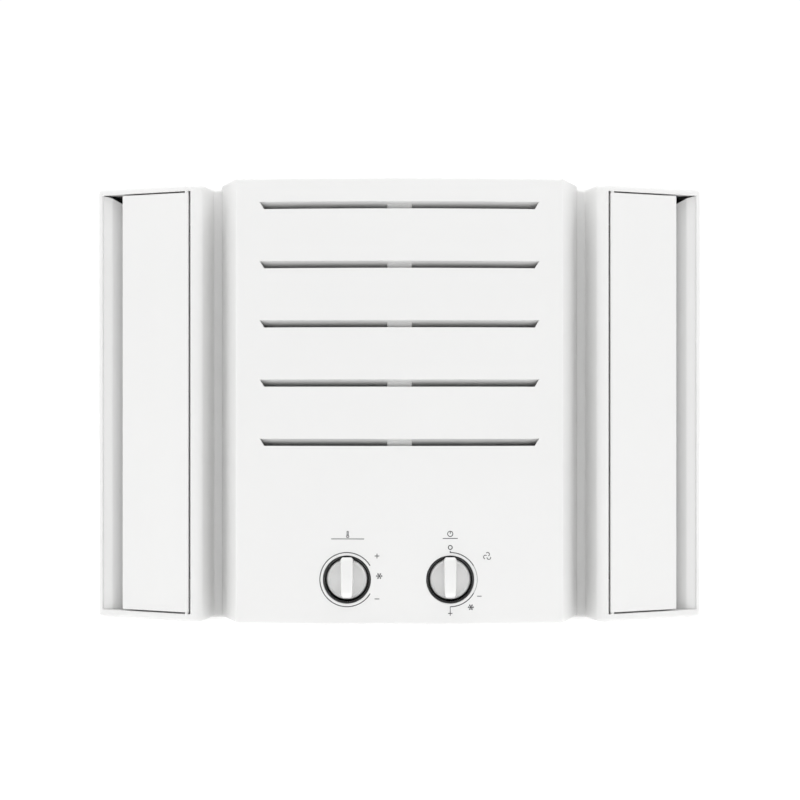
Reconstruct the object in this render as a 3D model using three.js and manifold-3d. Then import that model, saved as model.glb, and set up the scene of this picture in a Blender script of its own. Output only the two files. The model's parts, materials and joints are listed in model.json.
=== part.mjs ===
// A compact window air conditioner: a moulded front with two side outlets on a steel chassis.
// Millimetres. +X is to the right as seen from the room, +Z is up and the front faces -Y.
// The pieces are drawn with y as the depth behind the foremost line of the centre panel, and the last
// lines move the whole object so that its origin is the middle of its footprint.

import * as THREE from 'three';
import { mergeVertices } from 'three/addons/utils/BufferGeometryUtils.js';
import Module from 'manifold-3d';

const wasm = await Module();
wasm.setup();

// Clearances
const TOUCH = 0.3;
const RUNNING = 0.8;

// Front frame
const FRAME_WIDTH = 480;
const FRAME_HEIGHT = 340.5;
const FRAME_DEPTH = 140;
const FRAME_WALL = 2.5;
const FRAME_TOP = 4.7;
const FRAME_FLOOR = 6.1;
const FRAME_EDGE = 2.4;
const CORNER_RADIUS = 6;
const WING_FRONT = 27.7;
const WING_SLOPE = THREE.MathUtils.degToRad(26.5);
const WING_SHOULDER = 9;
const VALLEY_DEPTH = 60.3;
const VALLEY_FLOOR = 6.6;
const VALLEY_SLANT = 5.5;
const RECESS_WIDTH = 17.8;
const OPENING_STOP = 22;
const DEFLECTOR_SET = 67.5;
const DEFLECTOR_FLAT = 7.5;
const DEFLECTOR_RADIUS = 9;
const DEFLECTOR_LEAN = 3.5;
const DEFLECTOR_GAP = 8;

// Centre panel
const PANEL_WIDTH = 251.3;
const PANEL_FLARE = 15.3;
const PANEL_BOW = 9;
const PANEL_DEPTH = 60;
const PANEL_WALL = 2.5;
const PANEL_RISE = 3;
const PANEL_BOTTOM = 1;
const PANEL_EDGE = 1.6;
const SLOT_COUNT = 5;
const SLOT_PITCH = 45.4;
const SLOT_BELOW_TOP = 21.4;
const SLOT_LENGTH = 213;
const SLOT_HEIGHT = 5.6;
const SLOT_END_SLANT = 4;
const LIP_LENGTH = 13;
const LIP_TILT = THREE.MathUtils.degToRad(38);
const RIB_WIDTH = 19.1;

// Knobs and the controls behind them
const KNOB_SPACING = 79;
const KNOB_SHIFT = -0.7;
const KNOB_HEIGHT = 35.6;
const WELL_DIAMETER = 36.9;
const WELL_WALL = 1.4;
const WELL_DEPTH = 11;
const KNOB_DIAMETER = 31;
const KNOB_SKIRT = 5;
const KNOB_PROUD = 6;
const GRIP_WIDTH = 9.4;
const GRIP_POINTER = 17.2;
const GRIP_TAIL = 14.6;
const SPINDLE_DIAMETER = 6;
const CONTROL_BODY = 34;
const CONTROL_DEPTH = 20;

// Side flaps
const FLAP_THICKNESS = 2.6;
const FLAP_GAP = 1.4;
const FLAP_LIP = 6;
const PIN_DIAMETER = 2.8;
const PIN_ENGAGEMENT = 3;
const HINGE_INSET = 1.9;

// Cabinet and chassis
const CABINET_INSET = 20;
const CABINET_LIFT = 9;
const CABINET_DROP = 7.5;
const CABINET_DEPTH = 405;
const SEAT_DEPTH = 0.3;
const SHEET = 1.2;
const PAN_SHEET = 1.5;
const PAN_RIM = 22;
const RUNNER_WIDTH = 34;
const RUNNER_INSET = 62;
const BOLT_DIAMETER = 5;

// Air path
const FILTER_DEPTH = 4;
const FILTER_WIDTH = 244;
const FILTER_TAB = 60;
const FILTER_BOTTOM = 66;
const COIL_WIDTH = 236;
const COIL_DEPTH = 34;
const COIL_FRONT = 80;
const COIL_BENDS = 6;
const HOUSING_DEPTH = 86;
const INLET_DIAMETER = 150;
const WHEEL_DIAMETER = 186;
const WHEEL_WIDTH = 64;
const WHEEL_BLADES = 24;
const SHAFT_DIAMETER = 8;
const MOTOR_DIAMETER = 104;
const MOTOR_LENGTH = 82;
const FAN_DIAMETER = 250;
const FAN_WIDTH = 30;
const FAN_BLADES = 5;
const CONDENSER_DEPTH = 36;
const GUARD_DEPTH = 24;
const GUARD_BARS = 13;
const GUARD_RIM = 14;
const LOUVRE_LENGTH = 78;
const LOUVRE_HEIGHT = 5.2;
const SIDE_LOUVRES = 9;
const SIDE_PITCH = 20;
const TOP_LOUVRES = 5;
const TOP_PITCH = 18;
const TOP_SPACING = 116;

// Refrigerant circuit
const COMPRESSOR_DIAMETER = 112;
const COMPRESSOR_HEIGHT = 190;
const ACCUMULATOR_DIAMETER = 44;
const ACCUMULATOR_HEIGHT = 120;
const PIPE_DIAMETER = 8;
const CAPILLARY_DIAMETER = 3.2;

// Places that follow from the sizes above
const halfFrame = FRAME_WIDTH / 2;
const panelFront = PANEL_WIDTH / 2;
const panelBack = panelFront + PANEL_FLARE;
const panelTop = FRAME_HEIGHT + PANEL_RISE;
const panelHeight = panelTop - PANEL_BOTTOM;
const valleyEnd = panelBack + VALLEY_FLOOR;
const wingInner = valleyEnd + VALLEY_SLANT;
const wingFore = wingInner + WING_SHOULDER;
const openingTop = FRAME_HEIGHT - FRAME_TOP;
const openingInner = wingFore + 0.9;
const flapInner = openingInner + FLAP_GAP;
const recessOuter = halfFrame - FRAME_WALL;
const flapOuter = recessOuter - RECESS_WIDTH;
const deflectorEdge = recessOuter - DEFLECTOR_FLAT;
const deflectorFoot = deflectorEdge - DEFLECTOR_RADIUS - DEFLECTOR_LEAN;
const flapBottom = FRAME_FLOOR + FLAP_GAP - 0.2;
const flapTop = openingTop - FLAP_GAP - 0.2;
const wingBack = FRAME_DEPTH - FRAME_WALL;
const sleeveHalf = halfFrame - CABINET_INSET;
const sleeveTop = FRAME_HEIGHT - CABINET_DROP;
const sleeveFront = FRAME_DEPTH - SEAT_DEPTH + TOUCH;
const backEnd = FRAME_DEPTH + CABINET_DEPTH;
const panHalf = sleeveHalf - SHEET - TOUCH;
const panTop = CABINET_LIFT + PAN_SHEET;
const innerTop = sleeveTop - SHEET - TOUCH;
const axisHeight = (panTop + innerTop) / 2 + 12;
const openingBottom = FILTER_BOTTOM + 8;
const filterFront = VALLEY_DEPTH + FRAME_WALL + 3;
const panFront = FRAME_DEPTH + 2.3;
const housingFront = panFront + PAN_SHEET + TOUCH;
const housingBack = housingFront + HOUSING_DEPTH;
const bulkheadFront = housingBack + TOUCH;
const bulkheadBack = bulkheadFront + SHEET;
const motorFront = bulkheadBack + 12;
const motorBack = motorFront + MOTOR_LENGTH;
const guardFront = backEnd - GUARD_DEPTH;
const panBack = guardFront - TOUCH;
const condenserBack = panBack - PAN_SHEET - TOUCH;
const condenserFront = condenserBack - CONDENSER_DEPTH;
const fanBack = condenserFront - 12;
const fanFront = fanBack - FAN_WIDTH;
const shroudFront = fanFront - 8;

const white = { color: 0xf1f1ef, roughness: 0.42, metalness: 0 };
const black = { color: 0x111112, roughness: 0.4, metalness: 0 };
const greyPlastic = { color: 0x8d8f8e, roughness: 0.6, metalness: 0 };
const galvanized = { color: 0xa9adae, roughness: 0.45, metalness: 0.8 };
const painted = { color: 0xe4e4df, roughness: 0.5, metalness: 0 };
const aluminium = { color: 0xc3c6c8, roughness: 0.4, metalness: 0.9 };
const copper = { color: 0xb8693f, roughness: 0.35, metalness: 0.95 };
const darkSteel = { color: 0x1d1e20, roughness: 0.5, metalness: 0.3 };
const rubber = { color: 0x1a1a1a, roughness: 0.9, metalness: 0 };
const motorGrey = { color: 0x6f7375, roughness: 0.5, metalness: 0.7 };

const chassis = new THREE.Group();

// ---------- solids ----------

// A closed solid for cutting and joining, from any closed geometry.
function solidOf(geometry) {
  const plain = geometry.clone();
  plain.deleteAttribute('normal');
  plain.deleteAttribute('uv');
  const merged = mergeVertices(plain, 1e-4);
  const index = merged.index.array;
  const corners = [];
  for (let i = 0; i < index.length; i += 3) {
    const [a, b, c] = [index[i], index[i + 1], index[i + 2]];
    if (a !== b && b !== c && c !== a) {
      corners.push(a, b, c);
    }
  }
  const vertProperties = new Float32Array(merged.attributes.position.array);
  const triVerts = new Uint32Array(corners);
  return new wasm.Manifold(new wasm.Mesh({ numProp: 3, vertProperties, triVerts }));
}

function geometryOf(solid) {
  const mesh = solid.getMesh();
  const geometry = new THREE.BufferGeometry();
  geometry.setAttribute('position', new THREE.BufferAttribute(new Float32Array(mesh.vertProperties), 3));
  geometry.setIndex(new THREE.BufferAttribute(new Uint32Array(mesh.triVerts), 1));
  return geometry;
}

function join(...geometries) {
  const solids = geometries.map(solidOf);
  return geometryOf(solids.reduce((whole, solid) => whole.add(solid)));
}

function cut(geometry, ...tools) {
  return geometryOf(tools.map(solidOf).reduce((rest, tool) => rest.subtract(tool), solidOf(geometry)));
}

function common(a, b) {
  return geometryOf(solidOf(a).intersect(solidOf(b)));
}

// The same solid on the other side of the middle plane, with its faces still pointing out.
function mirrored(geometry) {
  const copy = geometry.clone().scale(-1, 1, 1);
  const count = copy.attributes.position.count;
  const index = copy.index ? Array.from(copy.index.array) : [...Array(count).keys()];
  for (let i = 0; i < index.length; i += 3) {
    [index[i], index[i + 1]] = [index[i + 1], index[i]];
  }
  copy.setIndex(index);
  return copy;
}

function box([x0, x1], [y0, y1], [z0, z1]) {
  const geometry = new THREE.BoxGeometry(x1 - x0, y1 - y0, z1 - z0);
  return geometry.translate((x0 + x1) / 2, (y0 + y1) / 2, (z0 + z1) / 2);
}

// A round bar along Y, Z or X.
function barY(radius, [y0, y1], x, z, sides = 24) {
  return new THREE.CylinderGeometry(radius, radius, y1 - y0, sides).translate(x, (y0 + y1) / 2, z);
}

function barZ(radius, [z0, z1], x, y, sides = 24) {
  const geometry = new THREE.CylinderGeometry(radius, radius, z1 - z0, sides).rotateX(Math.PI / 2);
  return geometry.translate(x, y, (z0 + z1) / 2);
}

function barX(radius, [x0, x1], y, z, sides = 24) {
  const geometry = new THREE.CylinderGeometry(radius, radius, x1 - x0, sides).rotateZ(Math.PI / 2);
  return geometry.translate((x0 + x1) / 2, y, z);
}

function outline(points) {
  return new THREE.Shape(points.map(([x, y]) => new THREE.Vector2(x, y)));
}

// An outline seen from above, raised from z0 to z1, with its top and bottom edges rounded.
function plan(points, [z0, z1], edge = 0) {
  const settings = { depth: z1 - z0 - 2 * edge, bevelEnabled: edge > 0, bevelSegments: 2 };
  settings.bevelSize = edge;
  settings.bevelThickness = edge;
  settings.bevelOffset = -edge;
  return new THREE.ExtrudeGeometry(outline(points), settings).translate(0, 0, z0 + edge);
}

// An outline in the XZ plane, drawn as [x, z], reaching from depth y0 to y1.
function elevation(points, [y0, y1]) {
  const settings = { depth: y1 - y0, bevelEnabled: false };
  return new THREE.ExtrudeGeometry(outline(points), settings).rotateX(Math.PI / 2).translate(0, y1, 0);
}

// An outline in the YZ plane, drawn as [y, z], reaching from x0 to x1.
function profile(points, [x0, x1]) {
  const settings = { depth: x1 - x0, bevelEnabled: false };
  const geometry = new THREE.ExtrudeGeometry(outline(points), settings);
  return geometry.rotateX(Math.PI / 2).rotateZ(Math.PI / 2).translate(x0, 0, 0);
}

function circlePoints(radius, sides) {
  return [...Array(sides).keys()].map((i) => {
    const angle = (2 * Math.PI * i) / sides;
    return [radius * Math.cos(angle), radius * Math.sin(angle)];
  });
}

// A profile of [radius, height] as points in the order that makes its surface face outwards.
function latheProfile(points) {
  const corners = points.map(([r, h]) => new THREE.Vector2(r, h));
  return THREE.ShapeUtils.area(corners) < 0 ? corners.reverse() : corners;
}

// A solid of revolution about a vertical axis. The profile is a list of [radius, z].
function revolved(points, sides = 24) {
  return new THREE.LatheGeometry(latheProfile(points), sides).rotateX(Math.PI / 2);
}

// A solid of revolution about a line along Y. The profile is a list of [radius, y].
function turned(points, x, z, sides = 24) {
  return new THREE.LatheGeometry(latheProfile(points), sides).translate(x, 0, z);
}

function tube(points, diameter, steps, sides = 8) {
  const route = points.map((p) => new THREE.Vector3(...p));
  const extrudePath = new THREE.CatmullRomCurve3(route, false, 'centripetal');
  const section = outline(circlePoints(diameter / 2, sides));
  return new THREE.ExtrudeGeometry(section, { steps, bevelEnabled: false, extrudePath });
}

function part(name, geometry, finish) {
  const mesh = new THREE.Mesh(geometry, new THREE.MeshStandardMaterial(finish));
  mesh.name = name;
  chassis.add(mesh);
}

function pair(leftName, rightName, rightGeometry, finish) {
  part(rightName, rightGeometry, finish);
  part(leftName, mirrored(rightGeometry), finish);
}

// ---------- front frame ----------

// The depth of the wing's sloping face at a distance from the middle.
function wingFace(x) {
  return WING_FRONT + (x - wingFore) * Math.tan(WING_SLOPE);
}

// Right half of the frame's outline seen from above, shrunk by a wall, from the middle outwards.
function frameSide(wall, back) {
  const slopeWall = wall / Math.cos(WING_SLOPE);
  const corner = halfFrame - CORNER_RADIUS;
  const side = halfFrame - wall;
  return [
    [valleyEnd + wall, VALLEY_DEPTH + wall],
    [wingInner + wall, WING_FRONT + 4 + wall * 0.7],
    [wingInner + 3 + wall * 0.6, WING_FRONT + 1 + wall * 0.9],
    [wingFore - 1 + wall * 0.3, WING_FRONT + slopeWall],
    [corner, wingFace(corner) + slopeWall],
    [side - CORNER_RADIUS * 0.3, wingFace(corner) + CORNER_RADIUS * 0.65 + wall],
    [side, wingFace(corner) + CORNER_RADIUS * 1.6 + wall],
    [side, back],
  ];
}

function frameOutline(wall, back) {
  const right = frameSide(wall, back);
  const left = right.map(([x, y]) => [-x, y]).reverse();
  return [...right, ...left];
}

// The opening in a wing's face that holds the flap and leaves the recess beside it.
function wingOpening() {
  const lean = Math.tan(WING_SLOPE);
  const points = [
    [openingInner + 8 * lean, wingFace(openingInner) - 8],
    [recessOuter, wingFace(openingInner) - 8],
    [recessOuter, wingBack - OPENING_STOP],
    [openingInner - 8 * lean, wingFace(openingInner) + 8],
  ];
  return plan(points, [FRAME_FLOOR, openingTop]);
}

// The deflector seen from above: a flat band, a rolled edge and a wall that leans to the back.
function deflectorSide(wall) {
  const radius = DEFLECTOR_RADIUS - wall;
  const middle = DEFLECTOR_SET + DEFLECTOR_RADIUS;
  const roll = [...Array(7).keys()].map((i) => {
    const angle = (i / 6) * (Math.PI / 2);
    return [deflectorEdge - radius * Math.sin(angle), middle - radius * Math.cos(angle)];
  });
  const foot = [deflectorFoot + wall, wingBack + 1];
  return [[recessOuter + 1, DEFLECTOR_SET + wall], ...roll, foot];
}

// The wall that turns the outgoing air aside. Its upper end falls away from the rim and leaves a gap.
function deflector() {
  const points = [...deflectorSide(0), ...deflectorSide(FRAME_WALL).reverse()];
  const wall = plan(points, [FRAME_FLOOR - 1, openingTop + 1]);
  const reach = recessOuter - deflectorFoot;
  const fall = [...Array(7).keys()].map((i) => (
    [recessOuter - (i / 6) * reach, openingTop - DEFLECTOR_GAP * (i / 6) ** 1.6]));
  const overhead = [[deflectorFoot - 2, openingTop + 2], [recessOuter, openingTop + 2]];
  const above = elevation([...fall, ...overhead], [0, wingBack]);
  return cut(wall, above);
}

const hingeFromEdge = HINGE_INSET * Math.cos(WING_SLOPE) - (FLAP_THICKNESS / 2) * Math.sin(WING_SLOPE);
const hingeX = flapInner + hingeFromEdge;
const hingeFromFace = HINGE_INSET * Math.sin(WING_SLOPE) + (FLAP_THICKNESS / 2) * Math.cos(WING_SLOPE);
const hingeY = wingFace(flapInner) + hingeFromFace;
const outletInner = valleyEnd + 20;
const outletOuter = sleeveHalf - 9;
const outletBottom = 30;
const outletTop = openingTop - 24;

function frontFrame() {
  const shell = cut(
    plan(frameOutline(0, FRAME_DEPTH), [0, FRAME_HEIGHT], FRAME_EDGE),
    plan(frameOutline(FRAME_WALL, FRAME_DEPTH + 5), [FRAME_FLOOR, openingTop]),
  );
  const flange = cut(
    box([-recessOuter - 1, recessOuter + 1], [wingBack, FRAME_DEPTH], [FRAME_FLOOR - 1, openingTop + 1]),
    box([-valleyEnd, valleyEnd], [wingBack - 1, FRAME_DEPTH + 1], [panTop + 12, innerTop - 10]),
    box(
      [-sleeveHalf - TOUCH, sleeveHalf + TOUCH],
      [FRAME_DEPTH - SEAT_DEPTH, FRAME_DEPTH + 1],
      [CABINET_LIFT - TOUCH, sleeveTop + TOUCH],
    ),
  );
  const guide = filterGuide();
  const solids = [guide, mirrored(guide)];
  const turning = deflector();
  const pinReach = [FRAME_FLOOR - PIN_ENGAGEMENT - 2 * TOUCH, openingTop + PIN_ENGAGEMENT + 2 * TOUCH];
  const pinHole = barZ(PIN_DIAMETER / 2 + TOUCH, pinReach, hingeX, hingeY, 16);
  const backWall = [wingBack - 1, FRAME_DEPTH + 1];
  const outlet = box([outletInner, outletOuter], backWall, [outletBottom, outletTop]);
  const holes = [pinHole, outlet, wingOpening()].flatMap((piece) => [piece, mirrored(piece)]);
  const airWay = box(
    [-COIL_WIDTH / 2 + 4, COIL_WIDTH / 2 - 4],
    [VALLEY_DEPTH - 1, VALLEY_DEPTH + FRAME_WALL + 1],
    [openingBottom, openingTop - 14],
  );
  const filterSlot = box(
    [-FILTER_WIDTH / 2 - RUNNING, FILTER_WIDTH / 2 + RUNNING],
    [filterFront - RUNNING, filterFront + FILTER_DEPTH + RUNNING],
    [openingTop - 2, FRAME_HEIGHT + 1],
  );
  const frame = cut(join(shell, flange, ...solids), ...holes, airWay, filterSlot);
  return join(frame, turning, mirrored(turning));
}

// A U-shaped channel for one edge of the filter, on the back of the frame's middle wall.
function filterGuide() {
  const inner = FILTER_WIDTH / 2 + RUNNING;
  const front = VALLEY_DEPTH + FRAME_WALL - 1;
  const back = filterFront + FILTER_DEPTH + RUNNING + 1.6;
  const channel = box([inner - 5, inner + 2], [front, back], [FILTER_BOTTOM - 4, openingTop + 1]);
  const x = [inner - 6, inner];
  const groove = box(x, [filterFront - RUNNING, back - 1.6], [FILTER_BOTTOM - RUNNING, openingTop - 2]);
  const slot = box(x, [front - 3, filterFront - RUNNING + 0.1], [openingBottom, openingTop - 14]);
  return cut(channel, groove, slot);
}

part('front_frame', frontFrame(), white);

// ---------- centre panel ----------

// Points of the bowed front, from left to right, moved back by a wall.
function bowedFront(halfWidth, wall) {
  const steps = 12;
  return [...Array(steps + 1).keys()].map((i) => {
    const x = halfWidth * ((2 * i) / steps - 1);
    return [x, PANEL_BOW * (x / panelFront) ** 2 + wall];
  });
}

function panelOutline(wall, back) {
  const front = bowedFront(panelFront - wall * 0.8, wall);
  return [[-panelBack + wall, back], ...front, [panelBack - wall, back]];
}

const slotHeights = [...Array(SLOT_COUNT).keys()].map((i) => panelTop - SLOT_BELOW_TOP - i * SLOT_PITCH);

function slotCutter(z) {
  const half = SLOT_LENGTH / 2;
  const low = half - SLOT_END_SLANT;
  const points = [
    [-low, z - SLOT_HEIGHT / 2],
    [low, z - SLOT_HEIGHT / 2],
    [half, z + SLOT_HEIGHT / 2],
    [-half, z + SLOT_HEIGHT / 2],
  ];
  return elevation(points, [-1, PANEL_BOW + PANEL_WALL + 3]);
}

// The lip behind a slot, which leans down and back from the slot's top edge.
function slotLip(z) {
  const top = z + SLOT_HEIGHT / 2 + 1.6;
  const run = LIP_LENGTH * Math.cos(LIP_TILT);
  const fall = LIP_LENGTH * Math.sin(LIP_TILT);
  const half = SLOT_LENGTH / 2 + 2;
  const points = [[1, top], [1, top - 1.6], [3 + run, top - 1.6 - fall], [3 + run, top - fall]];
  const bar = profile(points, [-half, half]);
  const behindFace = [...bowedFront(panelFront - PANEL_WALL, 1.2), [panelFront, 40], [-panelFront, 40]];
  const deep = plan(behindFace, [0, panelTop]);
  return common(bar, deep);
}

function centrePanel() {
  const outside = plan(panelOutline(0, PANEL_DEPTH), [PANEL_BOTTOM, panelTop], PANEL_EDGE);
  const inside = plan(
    panelOutline(PANEL_WALL, PANEL_DEPTH + 3),
    [PANEL_BOTTOM + PANEL_WALL, panelTop - PANEL_WALL],
  );
  const wells = knobPlaces.map((x) => barY(WELL_DIAMETER / 2, [-3, 20], x, KNOB_HEIGHT, 32));
  const rib = box(
    [-RIB_WIDTH / 2, RIB_WIDTH / 2],
    [1.6, 7],
    [slotHeights[SLOT_COUNT - 1] - 12, slotHeights[0] + 12],
  );
  const shell = cut(outside, inside, ...slotHeights.map(slotCutter), ...wells);
  const ribNotches = slotHeights.map((z) => (
    box([-RIB_WIDTH, RIB_WIDTH], [-1, 3.4], [z - SLOT_HEIGHT / 2, z + SLOT_HEIGHT / 2])));
  const trimmedRib = cut(rib, ...ribNotches);
  return join(shell, ...slotHeights.map(slotLip), trimmedRib);
}

const knobPlaces = [KNOB_SHIFT - KNOB_SPACING / 2, KNOB_SHIFT + KNOB_SPACING / 2];
part('centre_panel', centrePanel(), white);

// ---------- side flaps ----------

// Drawn flat with the hinge edge at the origin, then turned to the wing's slope.
function sideFlap() {
  const width = (flapOuter - flapInner) / Math.cos(WING_SLOPE);
  const plate = box([0, width], [0, FLAP_THICKNESS], [flapBottom, flapTop]);
  const lip = box([width - 2, width], [0.5, FLAP_LIP], [flapBottom + 4, flapTop - 4]);
  const ribs = [0.25, 0.5, 0.75].map((share) => {
    const z = flapBottom + (flapTop - flapBottom) * share;
    return box([5, width - 1], [0.5, FLAP_LIP - 1], [z - 1, z + 1]);
  });
  const lowPin = [FRAME_FLOOR - PIN_ENGAGEMENT, flapBottom + 1];
  const pins = [lowPin, [flapTop - 1, openingTop + PIN_ENGAGEMENT]];
  const flat = join(plate, lip, ...ribs, ...pins.map((reach) => (
    barZ(PIN_DIAMETER / 2, reach, HINGE_INSET, FLAP_THICKNESS / 2, 16))));
  return flat.rotateZ(WING_SLOPE).translate(flapInner, wingFace(flapInner), 0);
}

pair('left_flap', 'right_flap', sideFlap(), white);

// A grille of level bars behind each outlet, which keeps fingers out of the blower.
function outletGrille() {
  const x = [outletInner - 5, Math.min(outletOuter + 5, deflectorFoot - 2)];
  const y = [wingBack - TOUCH - 7, wingBack - TOUCH];
  const frame = cut(
    box(x, y, [outletBottom - 6, outletTop + 6]),
    box([x[0] + 5, x[1] - 5], [y[0] - 1, y[1] + 1], [outletBottom, outletTop]),
  );
  const count = 12;
  const bars = [...Array(count).keys()].map((i) => {
    const z = outletBottom + ((i + 1) * (outletTop - outletBottom)) / (count + 1);
    return box([x[0] + 4, x[1] - 4], [y[0] + 1, y[1] - 1], [z - 0.9, z + 0.9]);
  });
  return join(frame, ...bars);
}

pair('left_outlet_grille', 'right_outlet_grille', outletGrille(), greyPlastic);

// ---------- knobs and controls ----------

const wellFloor = PANEL_BOW * (KNOB_SPACING / 2 / panelFront) ** 2 + WELL_DEPTH;
const knobBack = wellFloor - WELL_WALL - TOUCH;
const discFront = knobBack - KNOB_SKIRT;
const controlPlate = wellFloor + TOUCH;

// The dark cup that lines a knob's hole, with a hole in its floor for the spindle.
function knobWell(x) {
  const radius = WELL_DIAMETER / 2 - TOUCH;
  const profilePoints = [
    [SPINDLE_DIAMETER / 2 + 1, wellFloor],
    [radius, wellFloor],
    [radius, 1.6],
    [radius - WELL_WALL, 1.6],
    [radius - WELL_WALL, wellFloor - WELL_WALL],
    [SPINDLE_DIAMETER / 2 + 1, wellFloor - WELL_WALL],
    [SPINDLE_DIAMETER / 2 + 1, wellFloor],
  ];
  return turned(profilePoints, x, KNOB_HEIGHT, 32);
}

// A round skirt with a raised grip bar across it. The long end of the bar is the pointer.
function knob(x) {
  const skirt = turned([
    [0, knobBack],
    [0, discFront - 1.5],
    [KNOB_DIAMETER / 2 - 3, discFront - 0.8],
    [KNOB_DIAMETER / 2, discFront + 0.8],
    [KNOB_DIAMETER / 2, knobBack],
    [0, knobBack],
  ], x, KNOB_HEIGHT, 32);
  const half = GRIP_WIDTH / 2;
  const taper = half * 0.8;
  const bar = elevation([
    [x - half, KNOB_HEIGHT - GRIP_TAIL + 3],
    [x, KNOB_HEIGHT - GRIP_TAIL],
    [x + half, KNOB_HEIGHT - GRIP_TAIL + 3],
    [x + taper, KNOB_HEIGHT + GRIP_POINTER - 2.5],
    [x + taper * 0.5, KNOB_HEIGHT + GRIP_POINTER],
    [x - taper * 0.5, KNOB_HEIGHT + GRIP_POINTER],
    [x - taper, KNOB_HEIGHT + GRIP_POINTER - 2.5],
  ], [-KNOB_PROUD, -0.6]);
  const root = elevation([
    [x - half, KNOB_HEIGHT - GRIP_TAIL + 3],
    [x + half, KNOB_HEIGHT - GRIP_TAIL + 3],
    [x + half, KNOB_HEIGHT + KNOB_DIAMETER / 2 - 2.2],
    [x - half, KNOB_HEIGHT + KNOB_DIAMETER / 2 - 2.2],
  ], [-KNOB_PROUD + 2, discFront + 1]);
  const bore = barY(SPINDLE_DIAMETER / 2 + 0.15, [discFront + 2, knobBack + 1], x, KNOB_HEIGHT, 16);
  return cut(join(skirt, root, bar), bore);
}

function spindle(x) {
  const reach = [discFront + 2.4, controlPlate + SHEET + 3];
  const shaft = barY(SPINDLE_DIAMETER / 2 - 0.15, reach, x, KNOB_HEIGHT, 16);
  const flat = box([x + 1.6, x + 5], [discFront, controlPlate - 1], [KNOB_HEIGHT - 5, KNOB_HEIGHT + 5]);
  return cut(shaft, flat);
}

function controlBody(x, depth) {
  const front = controlPlate + SHEET + TOUCH;
  const half = CONTROL_BODY / 2;
  const body = box([x - half, x + half], [front, front + depth], [KNOB_HEIGHT - 14, KNOB_HEIGHT + 14]);
  const back = front + depth;
  const blades = [x - 9, x, x + 9].map((place) => (
    box([place - 2.4, place + 2.4], [back - 1, back + 7], [KNOB_HEIGHT - 0.4, KNOB_HEIGHT + 0.4])));
  const socket = barY(SPINDLE_DIAMETER / 2 + 0.5, [front - 1, front + 6], x, KNOB_HEIGHT, 16);
  return cut(join(body, ...blades), socket);
}

// A folded steel box, open at its back, that carries the thermostat and the mode switch.
function controlBox() {
  const half = KNOB_SPACING / 2 + CONTROL_BODY / 2 + 8;
  const x = [KNOB_SHIFT - half, KNOB_SHIFT + half];
  const z = [KNOB_HEIGHT - 22, KNOB_HEIGHT + 20];
  const back = VALLEY_DEPTH - TOUCH;
  const shell = cut(
    box(x, [controlPlate, back], z),
    box([x[0] + SHEET, x[1] - SHEET], [controlPlate + SHEET, back + 1], [z[0] + SHEET, z[1] - SHEET]),
  );
  const through = [controlPlate - 1, controlPlate + SHEET + 1];
  const radius = SPINDLE_DIAMETER / 2 + 0.6;
  const holes = knobPlaces.map((place) => barY(radius, through, place, KNOB_HEIGHT, 16));
  return cut(shell, ...holes);
}

const [temperaturePlace, modePlace] = knobPlaces;
part('temperature_well', knobWell(temperaturePlace), black);
part('mode_well', knobWell(modePlace), black);
part('temperature_knob', knob(temperaturePlace), white);
part('mode_knob', knob(modePlace), white);
part('temperature_spindle', spindle(temperaturePlace), galvanized);
part('mode_spindle', spindle(modePlace), galvanized);
part('thermostat', controlBody(temperaturePlace, CONTROL_DEPTH), black);
part('mode_switch', controlBody(modePlace, CONTROL_DEPTH + 4), black);
part('control_box', controlBox(), galvanized);

// ---------- air filter ----------

function airFilter() {
  const half = FILTER_WIDTH / 2;
  const y = [filterFront, filterFront + FILTER_DEPTH];
  const top = FRAME_HEIGHT - 1;
  const rim = 6;
  const frame = cut(
    box([-half, half], y, [FILTER_BOTTOM, top]),
    box([-half + rim, half - rim], [y[0] - 1, y[1] + 1], [FILTER_BOTTOM + rim, top - 12]),
  );
  const columns = [-0.5, 0, 0.5].map((share) => (
    box([share * half - 1, share * half + 1], y, [FILTER_BOTTOM + 2, top - 10])));
  const rows = [1, 2, 3, 4].map((i) => {
    const z = FILTER_BOTTOM + (i * (top - FILTER_BOTTOM)) / 5;
    return box([-half + 3, half - 3], [y[0] + 0.4, y[1] - 0.4], [z - 1, z + 1]);
  });
  const thin = [y[0] + 0.6, y[1] - 0.6];
  const tab = box([-FILTER_TAB / 2, FILTER_TAB / 2], thin, [top - 1, top + PANEL_RISE]);
  return join(frame, ...columns, ...rows, tab);
}

part('air_filter', airFilter(), greyPlastic);

// ---------- evaporator and condenser ----------

// An end plate with return bends standing out of it, on the +X side of a coil.
function coilEnd(x, [y0, y1], [z0, z1], bends) {
  const plate = box([x, x + SHEET], [y0, y1], [z0, z1]);
  const pitch = (z1 - z0) / bends;
  const reach = pitch * 0.26;
  const middle = (y0 + y1) / 2;
  const loops = [...Array(bends).keys()].map((i) => {
    const z = z0 + pitch * (i + 0.5);
    const stub = x + SHEET + 2;
    const path = [
      [x + 0.4, middle, z - reach],
      [stub, middle, z - reach],
      [stub + reach * 0.8, middle, z - reach * 0.5],
      [stub + reach * 0.8, middle, z + reach * 0.5],
      [stub, middle, z + reach],
      [x + 0.4, middle, z + reach],
    ];
    return tube(path, PIPE_DIAMETER - 1, 8, 5);
  });
  return join(plate, ...loops);
}

const coilHalf = COIL_WIDTH / 2 - 12;
const coilBottom = FILTER_BOTTOM + 2;
const coilTop = innerTop - 8;
const coil = [COIL_FRONT, COIL_FRONT + COIL_DEPTH];
part('evaporator_fins', box([-coilHalf, coilHalf], coil, [coilBottom, coilTop]), aluminium);
const evaporatorEnd = coilEnd(coilHalf + TOUCH, coil, [coilBottom, coilTop], COIL_BENDS);
pair('evaporator_left_end', 'evaporator_right_end', evaporatorEnd, copper);

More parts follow.
